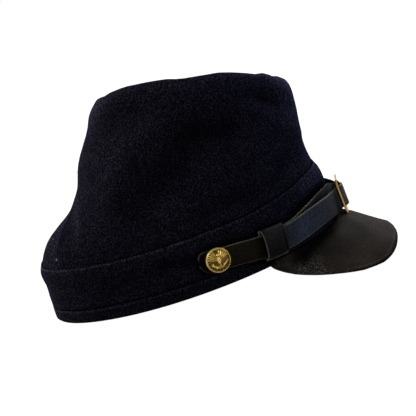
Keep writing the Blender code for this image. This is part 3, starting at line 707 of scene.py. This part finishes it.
crown_mesh = rounded(merged("crown"), "crown_wool", 2, 60)
for vertex in crown_mesh.vertices:
    spot = in_hat(vertex.co)
    held = share_of(37, 41, spot.z) * min(abs(spot.x) / 25, 1.0)
    outward = Vector((spot.x, 0.6 * (spot.y - 10), 0)).normalized()
    vertex.co += FROM_HAT @ outward * (fold_out(spot) * held * MM)
slack(crown_mesh, SLACK_DEPTH, SLACK_SIZE, lambda spot: share_of(44, 54, spot.z) * share_of(116, 108, spot.z))
crown_spots = [in_hat(vertex.co) for vertex in crown_mesh.vertices]
seam_gaps = [from_back_seam(spot) for spot in crown_spots]
dress_in_wool(crown_mesh, "crown", [gap * MM for gap in seam_gaps],
              [crown_painted_light(spot, gap) for spot, gap in zip(crown_spots, seam_gaps)], CROWN_REACH)

# %% [markdown]
# ## The head band and its hem
# The band is a straight strip. Its lower edge is turned in and stitched down, which leaves a fine line all round.
# Where the strap lies on it the nap is pressed down, and no light gets in. Soft light in a renderer misses much of such
# a narrow shadow, so each point learns how near the leather and the buttons are, and is darkened by that.

# %% Head band
HEM_HEIGHT = 7.4
BAND_SLACK_DEPTH, BAND_SLACK_SIZE = 0.18, 14.0
CLOSE_UNDER, STRAP_SHADOW_STOPS = 2.5, -2.2        # millimetres; stops of painted shadow right beside the strap


def skin(*meshes):
    """The surface of some meshes, to ask how near it is or where a line meets it."""
    bm = bmesh.new()
    for mesh in meshes:
        bm.from_mesh(mesh)
    tree = BVHTree.FromBMesh(bm)
    bm.free()
    return tree


def closeness(mesh, nodes, reach):
    """For each point 1 beside the named solids, and less the further away it is."""
    solids = skin(*(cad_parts[node].data for node in nodes))
    gaps = [solids.find_nearest(vertex.co, 3 * reach * MM)[3] for vertex in mesh.vertices]
    return [0.0 if gap is None else exp(-(gap / MM / reach) ** 2) for gap in gaps]


band_mesh = rounded(merged("band"), "band_wool", 3, 38)
slack(band_mesh, BAND_SLACK_DEPTH, BAND_SLACK_SIZE, lambda spot: share_of(4, 10, spot.z) * share_of(30, 24, spot.z))
band_spots = [in_hat(vertex.co) for vertex in band_mesh.vertices]
painted_light_beside = closeness(band_mesh, ("strap_right", "strap_left", "keeper", "button_right", "button_left"), CLOSE_UNDER)
dress_in_wool(band_mesh, "band", [(spot.z - HEM_HEIGHT) * MM for spot in band_spots],
              [near * STRAP_SHADOW_STOPS + painted_light_and_shade(spot) for near, spot in zip(painted_light_beside, band_spots)], BAND_REACH)

# %% [markdown]
# ## The top
# The round top is sewn in just inside the crown's edge and dished a little. Seen from the side it is hardly more than a
# line, so the rounded solid serves as it is, with the same wear as the crown, which keeps the seam closed.

# %% Top
top_mesh = rounded(merged("top"), "top_wool", 2, 60)
no_seam = [1.0] * len(top_mesh.vertices)    # a metre away from any
dress_in_wool(top_mesh, "top", no_seam, [painted_light_and_shade(in_hat(vertex.co)) for vertex in top_mesh.vertices])

# %% [markdown]
# ## Leather
# Straps and peak are cut from tanned hide: a fine grain of closed cells, a waxed face that takes a soft shine, and a
# raw cut edge that shows the paler fibres inside. A picture of leather would stretch on the bends, while cells of noise
# keep their size everywhere. Each piece carries its distance from the cut edge, and how much the face is scuffed or
# lies in shadow, so that one recipe serves them all.

# %% Hide grain group
def hide_grain():
    tree, given, out = new_group("hide_grain", [("Cells per metre", "Float", 1300.0)],
                                 [("Height", "Float"), ("Pore", "Float"), ("Shade", "Float"), ("Speck", "Float")])
    place = add(tree, "TexCoord").outputs["Object"]
    bent = add(tree, "TexNoise", None, place, Scale=500.0, Detail=2.0).outputs[1]
    moved = add(tree, "VectorMath", {"operation": "MULTIPLY_ADD"}, bent, (0.0005, 0.0005, 0.0005), place).outputs[0]
    cells = add(tree, "TexVoronoi", {"feature": "SMOOTH_F1"}, moved, Scale=given.outputs[0]).outputs[0]
    rough = cloud(tree, place, 2400.0, 3.0)
    lift = math(tree, "SUBTRACT", math(tree, "MULTIPLY", rough, 0.5), cells)
    tree.links.new(lift, out.inputs["Height"])
    tree.links.new(ramp(tree, cells, 0.35, 0.75), out.inputs["Pore"])
    broad = cloud(tree, place, 70.0, 4.0, Roughness=0.65)
    tree.links.new(ramp(tree, broad, 0.35, 0.65), out.inputs["Shade"])
    speck = cloud(tree, place, 1250.0, 2.0, Roughness=0.7)
    tree.links.new(ramp(tree, speck, 0.36, 0.66, -1.0, 1.0), out.inputs["Speck"])
    return tree


HIDE = hide_grain()
print("hide grain group with", len(HIDE.nodes), "nodes")

# %% [markdown]
# ## The leather looks
# The face colour runs from one end of a piece to the other, so each look takes a rear and a front colour and the two
# places between which it changes. On the straps the blue is a painted reflection of the pale room, and the paler,
# warmer front of the peak is a painted highlight. Specks are counted in stops, like the wool's flecks, and a face in
# deep shade is also duller, as a grazing shine would light it up again.

# %% Leather looks
def waxed_leather(name, rear, front, change, edge, roughness, specular, specks=0.35, cells=1300.0, edge_width=0.0006,
                  rim_stops=0.0):
    look, tree, shader = new_look(name, roughness, specular)
    hide = use_group(tree, HIDE, Cells_per_metre=cells)
    depth = add(tree, "SeparateXYZ", None, add(tree, "TexCoord").outputs["Object"]).outputs[1]
    face = tint(tree, ramp(tree, depth, *change), rear, front)
    scuffed = point_value(tree, "scuffed")
    shaded = point_value(tree, "shaded")
    specks = math(tree, "ADD", specks, math(tree, "MULTIPLY", scuffed, 1.6))
    stops = math(tree, "MULTIPLY", hide.outputs["Speck"], specks)
    stops = math(tree, "MULTIPLY_ADD", scuffed, 0.35, stops)
    stops = math(tree, "ADD", stops, ramp(tree, hide.outputs["Shade"], 0.0, 1.0, -0.2, 0.2))
    stops = math(tree, "SUBTRACT", stops, math(tree, "MULTIPLY", hide.outputs["Pore"], 0.4))
    away = point_value(tree, "edge_away")
    rise, fall = (edge_width * 0.7, edge_width * 1.1), (edge_width * 1.4, edge_width * 2.2)
    stops = math(tree, "ADD", stops, band_between(tree, away, rise, fall, rim_stops))
    face = by_stops(tree, face, stops)
    frayed = math(tree, "MULTIPLY_ADD", hide.outputs["Speck"], 0.3, 0.7)
    cut = math(tree, "MULTIPLY", ramp(tree, away, 0.0, edge_width, 1.0, 0.0), frayed)
    face = by_stops(tree, tint(tree, cut, face, edge), shaded)
    tree.links.new(face, shader.inputs["Base Color"])
    bump = add(tree, "Bump", None, Strength=0.5, Distance=0.0003, Height=hide.outputs["Height"])
    tree.links.new(bump.outputs[0], shader.inputs["Normal"])
    dull = ramp(tree, hide.outputs["Shade"], 0.0, 1.0, roughness - 0.05, roughness + 0.07)
    dull = math(tree, "MULTIPLY_ADD", math(tree, "MINIMUM", shaded, 0.0), -0.16, dull, clamp=True)
    tree.links.new(dull, shader.inputs["Roughness"])
    return look


# the paler, warmer front colour of the peak is a painted highlight
PEAK_LOOK = waxed_leather(
    "peak_leather_waxed", (0.0250, 0.0217, 0.0190), (0.0335, 0.0268, 0.0230), (-0.055, -0.085), (0.009, 0.0055, 0.0032),
    roughness=0.60, specular=0.013, specks=0.28, cells=900.0, edge_width=0.0014, rim_stops=0.8)
# the brown-black rear is the strap's own colour; the blue front colour is a painted reflection
STRAP_LOOK = waxed_leather(
    "strap_leather_brown_black_painted_reflection", (0.0195, 0.0152, 0.0098), (0.0420, 0.0500, 0.0720), (-0.045, -0.085),
    (0.230, 0.215, 0.165), roughness=0.60, specular=0.04, specks=0.85)
# both colours of the outer strap are a painted blue reflection over dark leather
STRAP_REFLECTION_LOOK = waxed_leather(
    "strap_leather_painted_reflection", (0.0490, 0.0600, 0.0950), (0.0600, 0.0620, 0.0760), (-0.055, -0.088),
    (0.190, 0.190, 0.150), roughness=0.60, specular=0.03, specks=0.65)
KEEPER_LOOK = waxed_leather(
    "keeper_leather", (0.0165, 0.0160, 0.0185), (0.0180, 0.0180, 0.0210), (-0.02, -0.07), (0.200, 0.200, 0.170),
    roughness=0.62, specular=0.04, specks=0.85)
print("leather looks:", ", ".join(look.name for look in (PEAK_LOOK, STRAP_LOOK, STRAP_REFLECTION_LOOK, KEEPER_LOOK)))

# %% [markdown]
# ## Cut edges
# A cut edge is a narrow face between two sharp arrises. It is found on the plain solid, where that is easy to say, and
# marked by a material number, which rounds of subdivision hand down to the faces they make.

# %% Cut edges
def mark_cut_edges(bm, thickest, sharp_over=30.0):
    for face in bm.faces:
        face.material_index = 0
        sharp = [edge for edge in face.edges if edge.calc_face_angle(0.0) > radians(sharp_over)]
        for first in sharp:
            for second in sharp:
                gap = ((first.verts[0].co + first.verts[1].co) - (second.verts[0].co + second.verts[1].co)).length / 2
                if first is not second and gap < thickest * MM:
                    face.material_index = 1


def leather_piece(node, look, crease_over, thickest, reshape, shade, scuffs=None, fold=None):
    """Rounds a solid of leather, writes what its look reads, and moves it by the reshape rule."""
    bm = merged(node)
    mark_cut_edges(bm, thickest)
    mesh = rounded(bm, node + "_leather", 2, crease_over)
    points = {index for face in mesh.polygons if face.material_index == 1 for index in face.vertices}
    tree = kdtree.KDTree(len(points))
    for index in points:
        tree.insert(mesh.vertices[index].co, index)
    tree.balance()
    spots = [in_hat(vertex.co) for vertex in mesh.vertices]
    edge_away = [tree.find(vertex.co)[2] for vertex in mesh.vertices]
    if fold:
        edge_away = [min(gap, fold(spot) * MM) for gap, spot in zip(edge_away, spots)]
    write_attribute(mesh, "edge_away", edge_away)
    mesh.polygons.foreach_set("material_index", [0] * len(mesh.polygons))
    write_attribute(mesh, "scuffed", [scuffs(spot) if scuffs else 0.0 for spot in spots])
    write_attribute(mesh, "shaded", [shade(spot) for spot in spots])
    for vertex, spot in zip(mesh.vertices, spots):
        vertex.co += reshape(spot) * MM
    mesh.update()
    piece(mesh.name, mesh, look, node)
    print(len(points), "of its points are on a cut edge")


print("cut edges are marked on the solids, before they are rounded")

# %% [markdown]
# ## The peak
# The crest of the peak has been bent up by a thumb, and its corners hang down a little. Where the strap, the band and
# the buckle take the light from it, painted shade darkens it, and a painted highlight runs along its lower edge. Pale
# scratches lie on the wearer's right, where the cap was set down. The bend is a millimetre or two, so two tables move
# the fine mesh, and the solid below stays plain.

# %% Peak
CREST_UP = [                                # along the middle from front to back, how far the peak is bent up
    (-140, 0.2), (-133, 0.5), (-126, 1.1), (-120, 1.8), (-116, 2.2), (-112, 2.1), (-108, 2.0), (-104, 1.3), (-98, 0.0)]
SIDES_UP = [                                # the same along its sides
    (-140, 0.7), (-84, 0.7), (-74, 0.3), (-66, -0.3), (-58, -1.2), (-52, -1.4), (-46, -1.1), (-40, -0.5), (-36, 0.0)]
# a line of points, how wide, by how many stops: painted shade, and the last row a painted highlight on the lower edge
PEAK_LIGHT_AND_SHADE = [
    ([(-90, 1.2), (-84, 0.2), (-75, -1), (-66, -3)], 3.4, -2.3),
    ([(-70, -3), (-66, -7), (-64, -9)], 2.0, -0.8),
    ([(-64, 1.5), (-60, -3)], 2.5, -1.2),
    ([(-104, -1), (-92, 0)], 3.0, -0.4),
    ([(-92, -8), (-106, -12)], 10.0, -0.5),
    ([(-58, -5), (-66, -11), (-76, -15), (-90, -19), (-106, -22)], 7.0, 1.15),
]
PEAK_SCRATCHES = [
    ([(-61, -9), (-68, -13), (-78, -18)], 2.8, 1.3),
    ([(-66, -6), (-76, -10)], 4.5, 0.8),
    ([(-52, -2), (-58, -5)], 2.5, 0.5),
]


def peak_bent(spot):
    sides = ease(14, 46, abs(spot.x))
    up = along(CREST_UP, spot.y) * (1 - sides) + along(SIDES_UP, spot.y) * sides * ease(0.5, -4, spot.z)
    return Vector((0, 0, up))


leather_piece("peak", PEAK_LOOK, 38, 2.6, peak_bent, lambda spot: laid(spot, PEAK_LIGHT_AND_SHADE),
              lambda spot: laid(spot, PEAK_SCRATCHES) * ease(-30, -55, spot.x))

# %% [markdown]
# ## The straps
# The strap goes through the slide buckle and back into a keeper. It has stretched where it is pulled and dropped where
# it isn't, and it is cut a little narrower towards the button. Painted shade lies round the button, in the keeper's
# mouth, between the two layers and under the buckle's bars, and a painted highlight on the tab in front of the bar and
# on a strip of the outer strap. All of it is said in the side view, like the crown's folds.

# %% Straps
INNER_DROP = [(-109, 0.0), (-103, 1.2), (-97, -0.9), (-90, -0.9), (-84, -0.8), (-78, -0.5), (-68, -0.2), (-62, 0.0)]
OUTER_DROP_TOP = [(-109, 0.0), (-103, -0.3), (-96, -0.7), (-87, -0.1), (-78, 0.2), (-68, 0.0)]
OUTER_DROP_LOW = [(-109, -0.6), (-103, -0.8), (-96, -0.4), (-87, 0.0)]
BUTTON_Y, BUTTON_Z, BUTTON_RADIUS = -13.5, 16.6, 8.0
MOUTH_Y, MOUTH_Z = -47, 16                  # the middle of the keeper's mouth
TAB_TOP = [(-62, 0.0), (-50, -0.7), (-30, -0.8), (-16, -1.2), (-10, -0.4), (-6, 1.4), (-3, 2.8), (0, 2.0)]
TAB_LOW = [(-20, 0.0), (-10, -0.6), (-4, -1.2), (0, -0.8)]
# a line of points, how wide, by how many stops of painted shade between the layers
BETWEEN_LAYERS = [
    ([(-66, 8), (-86, 12), (-104, 14)], 5.0, -0.6),
    ([(-92, 26), (-112, 22)], 6.0, -1.6),
    ([(-22, 7), (-36, 5), (-47, 3.5)], 2.6, -1.0),
]
# a line of points, how wide, by how many stops of painted shade by the bars; the positive row is a painted highlight
UNDER_BARS = [
    ([(-103.8, 4), (-105.0, 20)], 3.6, -3.8),
    ([(-92, 6), (-95, 20)], 4.5, -0.25),
    ([(-59, 8), (-60, 20)], 2.4, -0.8),
    ([(-70, 8), (-73, 18)], 4.5, 0.55),
]


def strap_tapered(spot):
    if spot.x > -14:
        return Vector((0, 0, 0))
    down = along(INNER_DROP, spot.y) * ease(-14, -24, spot.x)
    down += along(TAB_TOP, spot.y) * ease(15, 23, spot.z) + along(TAB_LOW, spot.y) * ease(14, 9, spot.z)
    return Vector((0, 1.4 * ease(-9, -2, spot.y), down))


def strap_sagged(spot):
    if spot.x > 0:
        return Vector((0, 0, 0))
    top = ease(7.4, 22.2, spot.z)
    down = along(OUTER_DROP_TOP, spot.y) * top + along(OUTER_DROP_LOW, spot.y) * (1 - top)
    low_edge = -0.6 * ease(14, 6, spot.z) * ease(-4, -9, spot.x) * ease(-30, -22, spot.x)
    return Vector((0, 0, down * ease(-13, -24, spot.x) + low_edge))


def strap_shade(spot):
    """Painted shade between the layers, round the button and in the keeper's mouth."""
    outside = max(hypot(spot.y - BUTTON_Y, spot.z - BUTTON_Z) - BUTTON_RADIUS, 0.0)
    button = exp(-(outside / 1.4) ** 2)
    mouth = exp(-((spot.y - MOUTH_Y + 0.2 * (spot.z - MOUTH_Z)) / 1.8) ** 2)
    return laid(spot, BETWEEN_LAYERS) - 1.8 * button - 0.7 * mouth


def buckle_shade(spot):
    """Painted shade under the bars and on the far side, which keeps the painted reflection near; a painted highlight on
    the tab.
    """
    tab_highlight = 1.3 * ease(-108, -110, spot.y) * ease(21, 17, spot.z) * ease(6, -2, spot.x)
    return laid(spot, UNDER_BARS) * ease(4, -4, spot.x) - 1.4 * ease(-2, 14, spot.x) + tab_highlight


leather_piece("strap_right", STRAP_LOOK, 38, 1.6, strap_tapered, strap_shade)
leather_piece("strap_left", STRAP_REFLECTION_LOOK, 38, 1.6, strap_sagged, buckle_shade)

# %% [markdown]
# ## The keeper
# The keeper is a folded sleeve that holds the strap's end. It slants, and a painted highlight lies on its upper part,
# where it bulges into the light, with painted shade below. Its front end is painted darker. Its fold below has lost its
# finish and shows like a cut edge, so the line of the fold is measured on the solid, and counts as one.

# %% Keeper
KEEPER_LIGHT = [(8, -0.6), (10, -0.45), (12, -0.1), (15, 0.2), (17, 0.6), (19, 0.9)]    # height, stops of painted light; negative is painted shade
keeper_spots = [in_hat(vertex.co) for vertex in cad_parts["keeper"].data.vertices]
keeper_ends = min(spot.y for spot in keeper_spots), max(spot.y for spot in keeper_spots)
KEEPER_LOW = [(end, min(spot.z for spot in keeper_spots if abs(spot.y - end) < 5)) for end in keeper_ends]
print("the keeper's lower edge, y and z in mm:", [(round(y, 1), round(z, 1)) for y, z in KEEPER_LOW])


def keeper_slanted(spot):
    front = ease(-54, -64, spot.y)
    return Vector((0, (1.2 + 0.08 * (20 - spot.z)) * front + 0.07 * (18 - spot.z) * (1 - front), 0))


def keeper_shade(spot):
    front = keeper_ends[0]
    light = along(KEEPER_LIGHT, spot.z) * ease(-46, -49, spot.y)
    # painted light by height, and the front end painted darker
    return light - 1.6 * ease(front + 2.2, front + 0.8, spot.y)


leather_piece("keeper", KEEPER_LOOK, 50, 1.7, keeper_slanted, keeper_shade,
              fold=lambda spot: max(abs(spot.z - along(KEEPER_LOW, spot.y) - 1.0) - 0.3, 0.0))

# %% [markdown]
# ## Brass
# Buckle and buttons are stamped from sheet brass. The raised parts are rubbed bright, the hollows keep a brown film.
# The film is thick enough to scatter light, so the look is not wholly metal. Noise leaves film on the flat parts, and
# the pieces say for themselves where they are deep.

# %% Brass looks
def stamped_brass(name, bright, film_colour, roughness, metallic):
    look, tree, shader = new_look(name, roughness, 0.5, metallic)
    place = add(tree, "TexCoord").outputs["Object"]
    film = cloud(tree, place, 420.0, 4.0, Roughness=0.6)
    deep = point_value(tree, "deep")
    share = math(tree, "ADD", math(tree, "MULTIPLY", ramp(tree, film, 0.4, 0.7), 0.22), deep, clamp=True)
    tree.links.new(tint(tree, share, bright, film_colour), shader.inputs["Base Color"])
    tree.links.new(ramp(tree, share, 0.0, 1.0, roughness - 0.05, roughness + 0.25), shader.inputs["Roughness"])
    scratch = cloud(tree, place, 1800.0, 3.0)
    bump = add(tree, "Bump", None, Strength=0.15, Distance=0.0001, Height=scratch)
    tree.links.new(bump.outputs[0], shader.inputs["Normal"])
    return look


BUTTON_BRASS = stamped_brass("button_brass", (1.0, 0.72, 0.20), (0.115, 0.060, 0.008), 0.26, 0.88)
BUCKLE_BRASS = stamped_brass("buckle_brass", (0.95, 0.52, 0.12), (0.40, 0.18, 0.03), 0.34, 0.80)
print("brass looks:", BUTTON_BRASS.name, "and", BUCKLE_BRASS.name)

# %% [markdown]
# ## The struck figure
# A uniform button is a shell of thin sheet, struck in a die with a bird that spreads its wings, a striped shield on its
# breast, rays behind it and a roped rim. The figure is written as a height over the plane of the button, built from
# fans of feathers and soft blobs, because a picture of it could not be sharp at this size.

# %% Struck figure
FEATHER = 15.0                              # degrees between the feathers of a wing
RAYS, ROPE = 22, 34                         # how many rays stand behind the bird, and turns in the rope round it
STRIPE = 0.55                               # from one stripe of the shield to the next


def fan(u, v, root, middle, spread, reach):
    """A wing or tail: feathers that fan out from a root, as a height from 0 to 1."""
    du, dv = u - root[0], v - root[1]
    far, turn = hypot(du, dv), degrees(atan2(dv, du))
    off = (turn - middle + 180) % 360 - 180
    inside = (1 - ease(spread - 5, spread + 3, abs(off))) * (1 - ease(reach - 0.5, reach + 0.2, far))
    return inside * (0.55 + 0.45 * cos(radians(off / FEATHER * 360))) * ease(0.2, 1.2, far)


def blob(u, v, middle, half_long, half_wide, turn=0.0):
    c, s = cos(radians(turn)), sin(radians(turn))
    du, dv = u - middle[0], v - middle[1]
    return exp(-(((du * c + dv * s) / half_long) ** 2 + ((dv * c - du * s) / half_wide) ** 2) ** 2)


def struck_bird(u, v):
    """Height of the struck figure, 0 on the ground and 1 at its highest."""
    wings = [fan(u, v, (0.6, 0.2), 48, 36, 5.4), fan(u, v, (-0.6, 0.2), 132, 36, 5.4)]
    body = [fan(u, v, (0.0, -1.4), 270, 32, 3.4), blob(u, v, (0.0, 0.3), 1.0, 2.0),
            blob(u, v, (0.3, 3.2), 0.9, 0.7, 20), blob(u, v, (1.3, 3.3), 0.7, 0.3, -20)]
    holds = [blob(u, v, (2.9, -2.7), 2.2, 0.4, 35), blob(u, v, (3.4, -2.0), 2.0, 0.35, 20),
             blob(u, v, (-2.9, -2.7), 2.2, 0.5, 145), blob(u, v, (-3.6, -1.8), 0.9, 0.45, 100),
             blob(u, v, (-2.2, -3.6), 0.9, 0.45, 60)]
    shield = blob(u, v, (0.0, 0.2), 0.95, 1.3)
    figure = max(wings + body + holds) * (1 - 0.45 * shield * (0.5 + 0.5 * cos(2 * pi * u / STRIPE)))
    rays = 0.30 * (0.5 + 0.5 * cos(RAYS * atan2(v - 0.4, u)))
    rope = ease(5.9, 6.1, hypot(u, v)) * (0.45 + 0.4 * cos(ROPE * atan2(v, u) + 3 * hypot(u, v)))
    return max(figure, rays, rope)


print("height in the middle of the figure:", round(struck_bird(0.0, 0.0), 2))

# %% [markdown]
# ## The buttons
# The solid's button is refined until its faces are finer than a feather, and then every point of its face is raised by
# the figure, so the relief is real and catches the light. The same number darkens the hollows with old film.

# %% Buttons
BUTTON_TURN = 98.5                          # where the buttons sit, in degrees round the head from the back
FACE_RADIUS, FIGURE_SIZE = 7.1, 0.88        # the struck face, and how many units of the figure are one millimetre
STRUCK_DEEP, STRUCK_GROUND = 0.55, 0.35     # how deep the figure is struck, and which height stays where it was
BUTTON_BACK = 0.4                           # the worn buttons sit a little further back than the solid ones
HOLLOW_UNDER, HOLLOW_GAIN = 0.58, 2.6       # what counts as a hollow, and how fast it fills with film


def struck_button(node):
    low, high = (Vector(corner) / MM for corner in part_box(node))
    middle = (low + high) / 2
    side = -1 if middle.x < 0 else 1
    turn = radians(BUTTON_TURN)
    facing = FROM_HAT @ Vector((side * sin(turn) / HEAD_WIDE, cos(turn) / HEAD_LONG, 0)).normalized()
    across = (FROM_HAT @ Vector((0, 0, 1))).cross(facing).normalized()
    upward = facing.cross(across)
    mesh = rounded(merged(node), node + "_brass", 3, 25)
    front = max((vertex.co / MM - middle).dot(facing) for vertex in mesh.vertices)
    deep = []
    for vertex in mesh.vertices:
        away_from_middle = vertex.co / MM - middle
        u, v, out = (away_from_middle.dot(axis) for axis in (across, upward, facing))
        on_face = 1 - ease(FACE_RADIUS, FACE_RADIUS + 0.3, hypot(u, v))
        on_face *= ease(front - 2.2, front - 1.8, out)
        height = struck_bird(u * FIGURE_SIZE, v * FIGURE_SIZE)
        vertex.co += facing * (STRUCK_DEEP * (height - STRUCK_GROUND) * on_face * MM) + Vector((0, BUTTON_BACK * MM, 0))
        deep.append(share_of(0.0, 1.0, HOLLOW_GAIN * (HOLLOW_UNDER - height) * on_face))
    mesh.update()
    write_attribute(mesh, "deep", deep)
    piece(mesh.name, mesh, BUTTON_BRASS, node)


struck_button("button_right")
struck_button("button_left")

# %% [markdown]
# ## The buckle
# The slide buckle is a flat plate with two slots, and the strap holds by friction on the bar between them. Its stamped
# arrises stay crisp by creases, and a soft noise lays old film in patches over its faces.

# %% Buckle
buckle_mesh = rounded(merged("buckle"), "buckle_brass", 2, 20)
patches = [3 * abs(noise.noise(vertex.co / MM / 2.5)) for vertex in buckle_mesh.vertices]
write_attribute(buckle_mesh, "deep", [0.25 * ease(0.3, 1.5, patch) for patch in patches])
piece("buckle_brass", buckle_mesh, BUCKLE_BRASS, "buckle")

# %% [markdown]
# ## Threads
# Stitches, loose hairs and lint are all short threads. A thread is drawn out of a small ring from point to point, and
# laid on the cloth where a level line from outside meets it. A curve would be shorter to write, but a small mesh can be
# copied by the hundred into one piece.

# %% Threads
def out_of_hat(spot):
    return (FROM_HAT @ spot + HAT_PLACE) * MM


def on_cloth(surface, turn, height):
    """Where a level line from outside meets the cloth: the place, the way out of it and the way round the head."""
    outward = Vector((-HEAD_WIDE * sin(radians(turn)), HEAD_LONG * cos(radians(turn)), 0))
    start, end = out_of_hat(outward * 1.6 + Vector((0, 0, height))), out_of_hat(Vector((0, 0, height)))
    place, out = surface.ray_cast(start, (end - start).normalized())[:2]
    round_head = (FROM_HAT @ Vector((0, 0, 1))).cross(out).normalized()
    return place, out, round_head


def thread(path, thick, sides=5):
    """A short thread along points of its own frame, as a mesh: a ring drawn from point to point."""
    bm = bmesh.new()
    upright = Matrix.Translation(path[0]) @ Matrix.Rotation(pi / 2, 4, "Y")
    bmesh.ops.create_circle(bm, cap_ends=True, segments=sides, radius=thick / 2, matrix=upright)
    first = end = bm.faces[:]
    for before, after in zip(path, path[1:]):
        drawn = bmesh.ops.extrude_face_region(bm, geom=end)["geom"]
        if end is not first:
            bmesh.ops.delete(bm, geom=end, context="FACES_ONLY")
        corners = [item for item in drawn if isinstance(item, bmesh.types.BMVert)]
        bmesh.ops.translate(bm, vec=after - before, verts=corners)
        end = [item for item in drawn if isinstance(item, bmesh.types.BMFace)]
    bmesh.ops.recalc_face_normals(bm, faces=bm.faces[:])
    mesh = bpy.data.meshes.new("thread")
    bm.to_mesh(mesh)
    bm.free()
    return mesh


def lay(bm, mesh, place, out, round_head, turn=0.0):
    """Adds a copy of a small mesh to bm: its x goes round the head, its z out of the cloth."""
    across = out.cross(round_head).normalized()
    axes = Matrix((round_head, across, out)).transposed().to_4x4()
    copy = mesh.copy()
    copy.transform(Matrix.Translation(place) @ axes @ Matrix.Rotation(turn, 4, "Z"))
    bm.from_mesh(copy)
    bpy.data.meshes.remove(copy)


def small_pieces(bm, name, look):
    mesh = bpy.data.meshes.new(name)
    bm.to_mesh(mesh)
    bm.free()
    mesh.shade_smooth()
    piece(name, mesh, look)


def thread_look(name, dull, pale, roughness):
    """Thread or hair, lighter and darker along its length."""
    look, tree, shader = new_look(name, roughness, 0.2)
    place = add(tree, "TexCoord").outputs["Object"]
    twist = cloud(tree, place, 1500.0, 2.0)
    tree.links.new(tint(tree, ramp(tree, twist, 0.35, 0.65), dull, pale), shader.inputs["Base Color"])
    bump = add(tree, "Bump", None, Strength=0.4, Distance=0.0001, Height=twist)
    tree.links.new(bump.outputs[0], shader.inputs["Normal"])
    return look


print("threads are laid on cloth by on_cloth() and lay()")

# %% [markdown]
# ## Hem stitches
# The hem is held by short stitches of dark thread, sunk into the cloth. Dashes in the wool's look would be cheaper, but
# they would not stand out at the rim. One stitch is drawn and bent down at its ends, and copies of it go round the band
# at an even distance.

# %% Hem stitches
STITCH_LONG, STITCH_APART, THREAD_THICK = 2.1, 3.3, 0.32     # millimetres

half = STITCH_LONG / 2
bend = [(-1, -0.35), (-0.75, 0.02), (-0.3, 0.10), (0.3, 0.10), (0.75, 0.02), (1, -0.35)]
stitch = thread([Vector((x * half, 0, z)) * MM for x, z in bend], THREAD_THICK * MM)
band_skin = skin(band_mesh)
hem = bmesh.new()
turn = -180.0
while turn < 180:
    lay(hem, stitch, *on_cloth(band_skin, turn, HEM_HEIGHT))
    turn += degrees(STITCH_APART / hypot(HEAD_WIDE * cos(radians(turn)), HEAD_LONG * sin(radians(turn))))
dark_thread = thread_look("navy_thread", (0.0012, 0.0012, 0.0022), (0.0040, 0.0040, 0.0070), 0.8)
small_pieces(hem, "hem_stitches", dark_thread)

# %% [markdown]
# ## Lint and loose hairs
# Dark wool picks up everything. Two bright specks of lint sit low on the back, and paler hairs of the nap have worked
# loose all over. They are short bent threads again, only finer, and a seeded generator lays them.

# %% Lint and loose hairs
LINT = [(31.0, 42.2, 1.5, 1.35, 0.3), (17.4, 52.4, 0.9, 0.6, 1.2)]    # turn, height, length, thickness, lie
HAIRS, HAIR_SEED, HAIR_STEPS = 150, 11, 6


def curl(chance, long, thick):
    """A thread that wanders a little over the cloth."""
    heading, spot, path = chance.uniform(0, 2 * pi), Vector((0, 0, 0.05)), []
    bending = chance.uniform(-1.0, 1.0)
    for step in range(HAIR_STEPS):
        path.append(spot * MM)
        heading += bending + chance.uniform(-0.3, 0.3)
        step_on = Vector((abs(cos(heading)), sin(heading) * 0.8, chance.uniform(-0.3, 0.3) * thick))
        spot = spot + step_on * (long / HAIR_STEPS)
    return thread(path, thick * MM, 4)


chance = Random(HAIR_SEED)
cloth_skin = skin(crown_mesh, band_mesh)
hairs = bmesh.new()
for number in range(HAIRS):
    turn, height = chance.uniform(-180, 180), chance.uniform(12, 105)
    hair = curl(chance, chance.uniform(1.2, 2.6), chance.uniform(0.09, 0.15))
    lay(hairs, hair, *on_cloth(cloth_skin, turn, height), chance.uniform(0, 2 * pi))
    bpy.data.meshes.remove(hair)
small_pieces(hairs, "loose_hairs", thread_look("pale_hair", (0.020, 0.021, 0.030), (0.060, 0.062, 0.075), 0.9))

lint = bmesh.new()
for turn, height, long, thick, lie in LINT:
    speck = curl(chance, long, thick)
    lay(lint, speck, *on_cloth(cloth_skin, turn, height), lie)
    bpy.data.meshes.remove(speck)
small_pieces(lint, "lint_specks", thread_look("lint", (0.42, 0.30, 0.20), (0.90, 0.85, 0.75), 0.9))
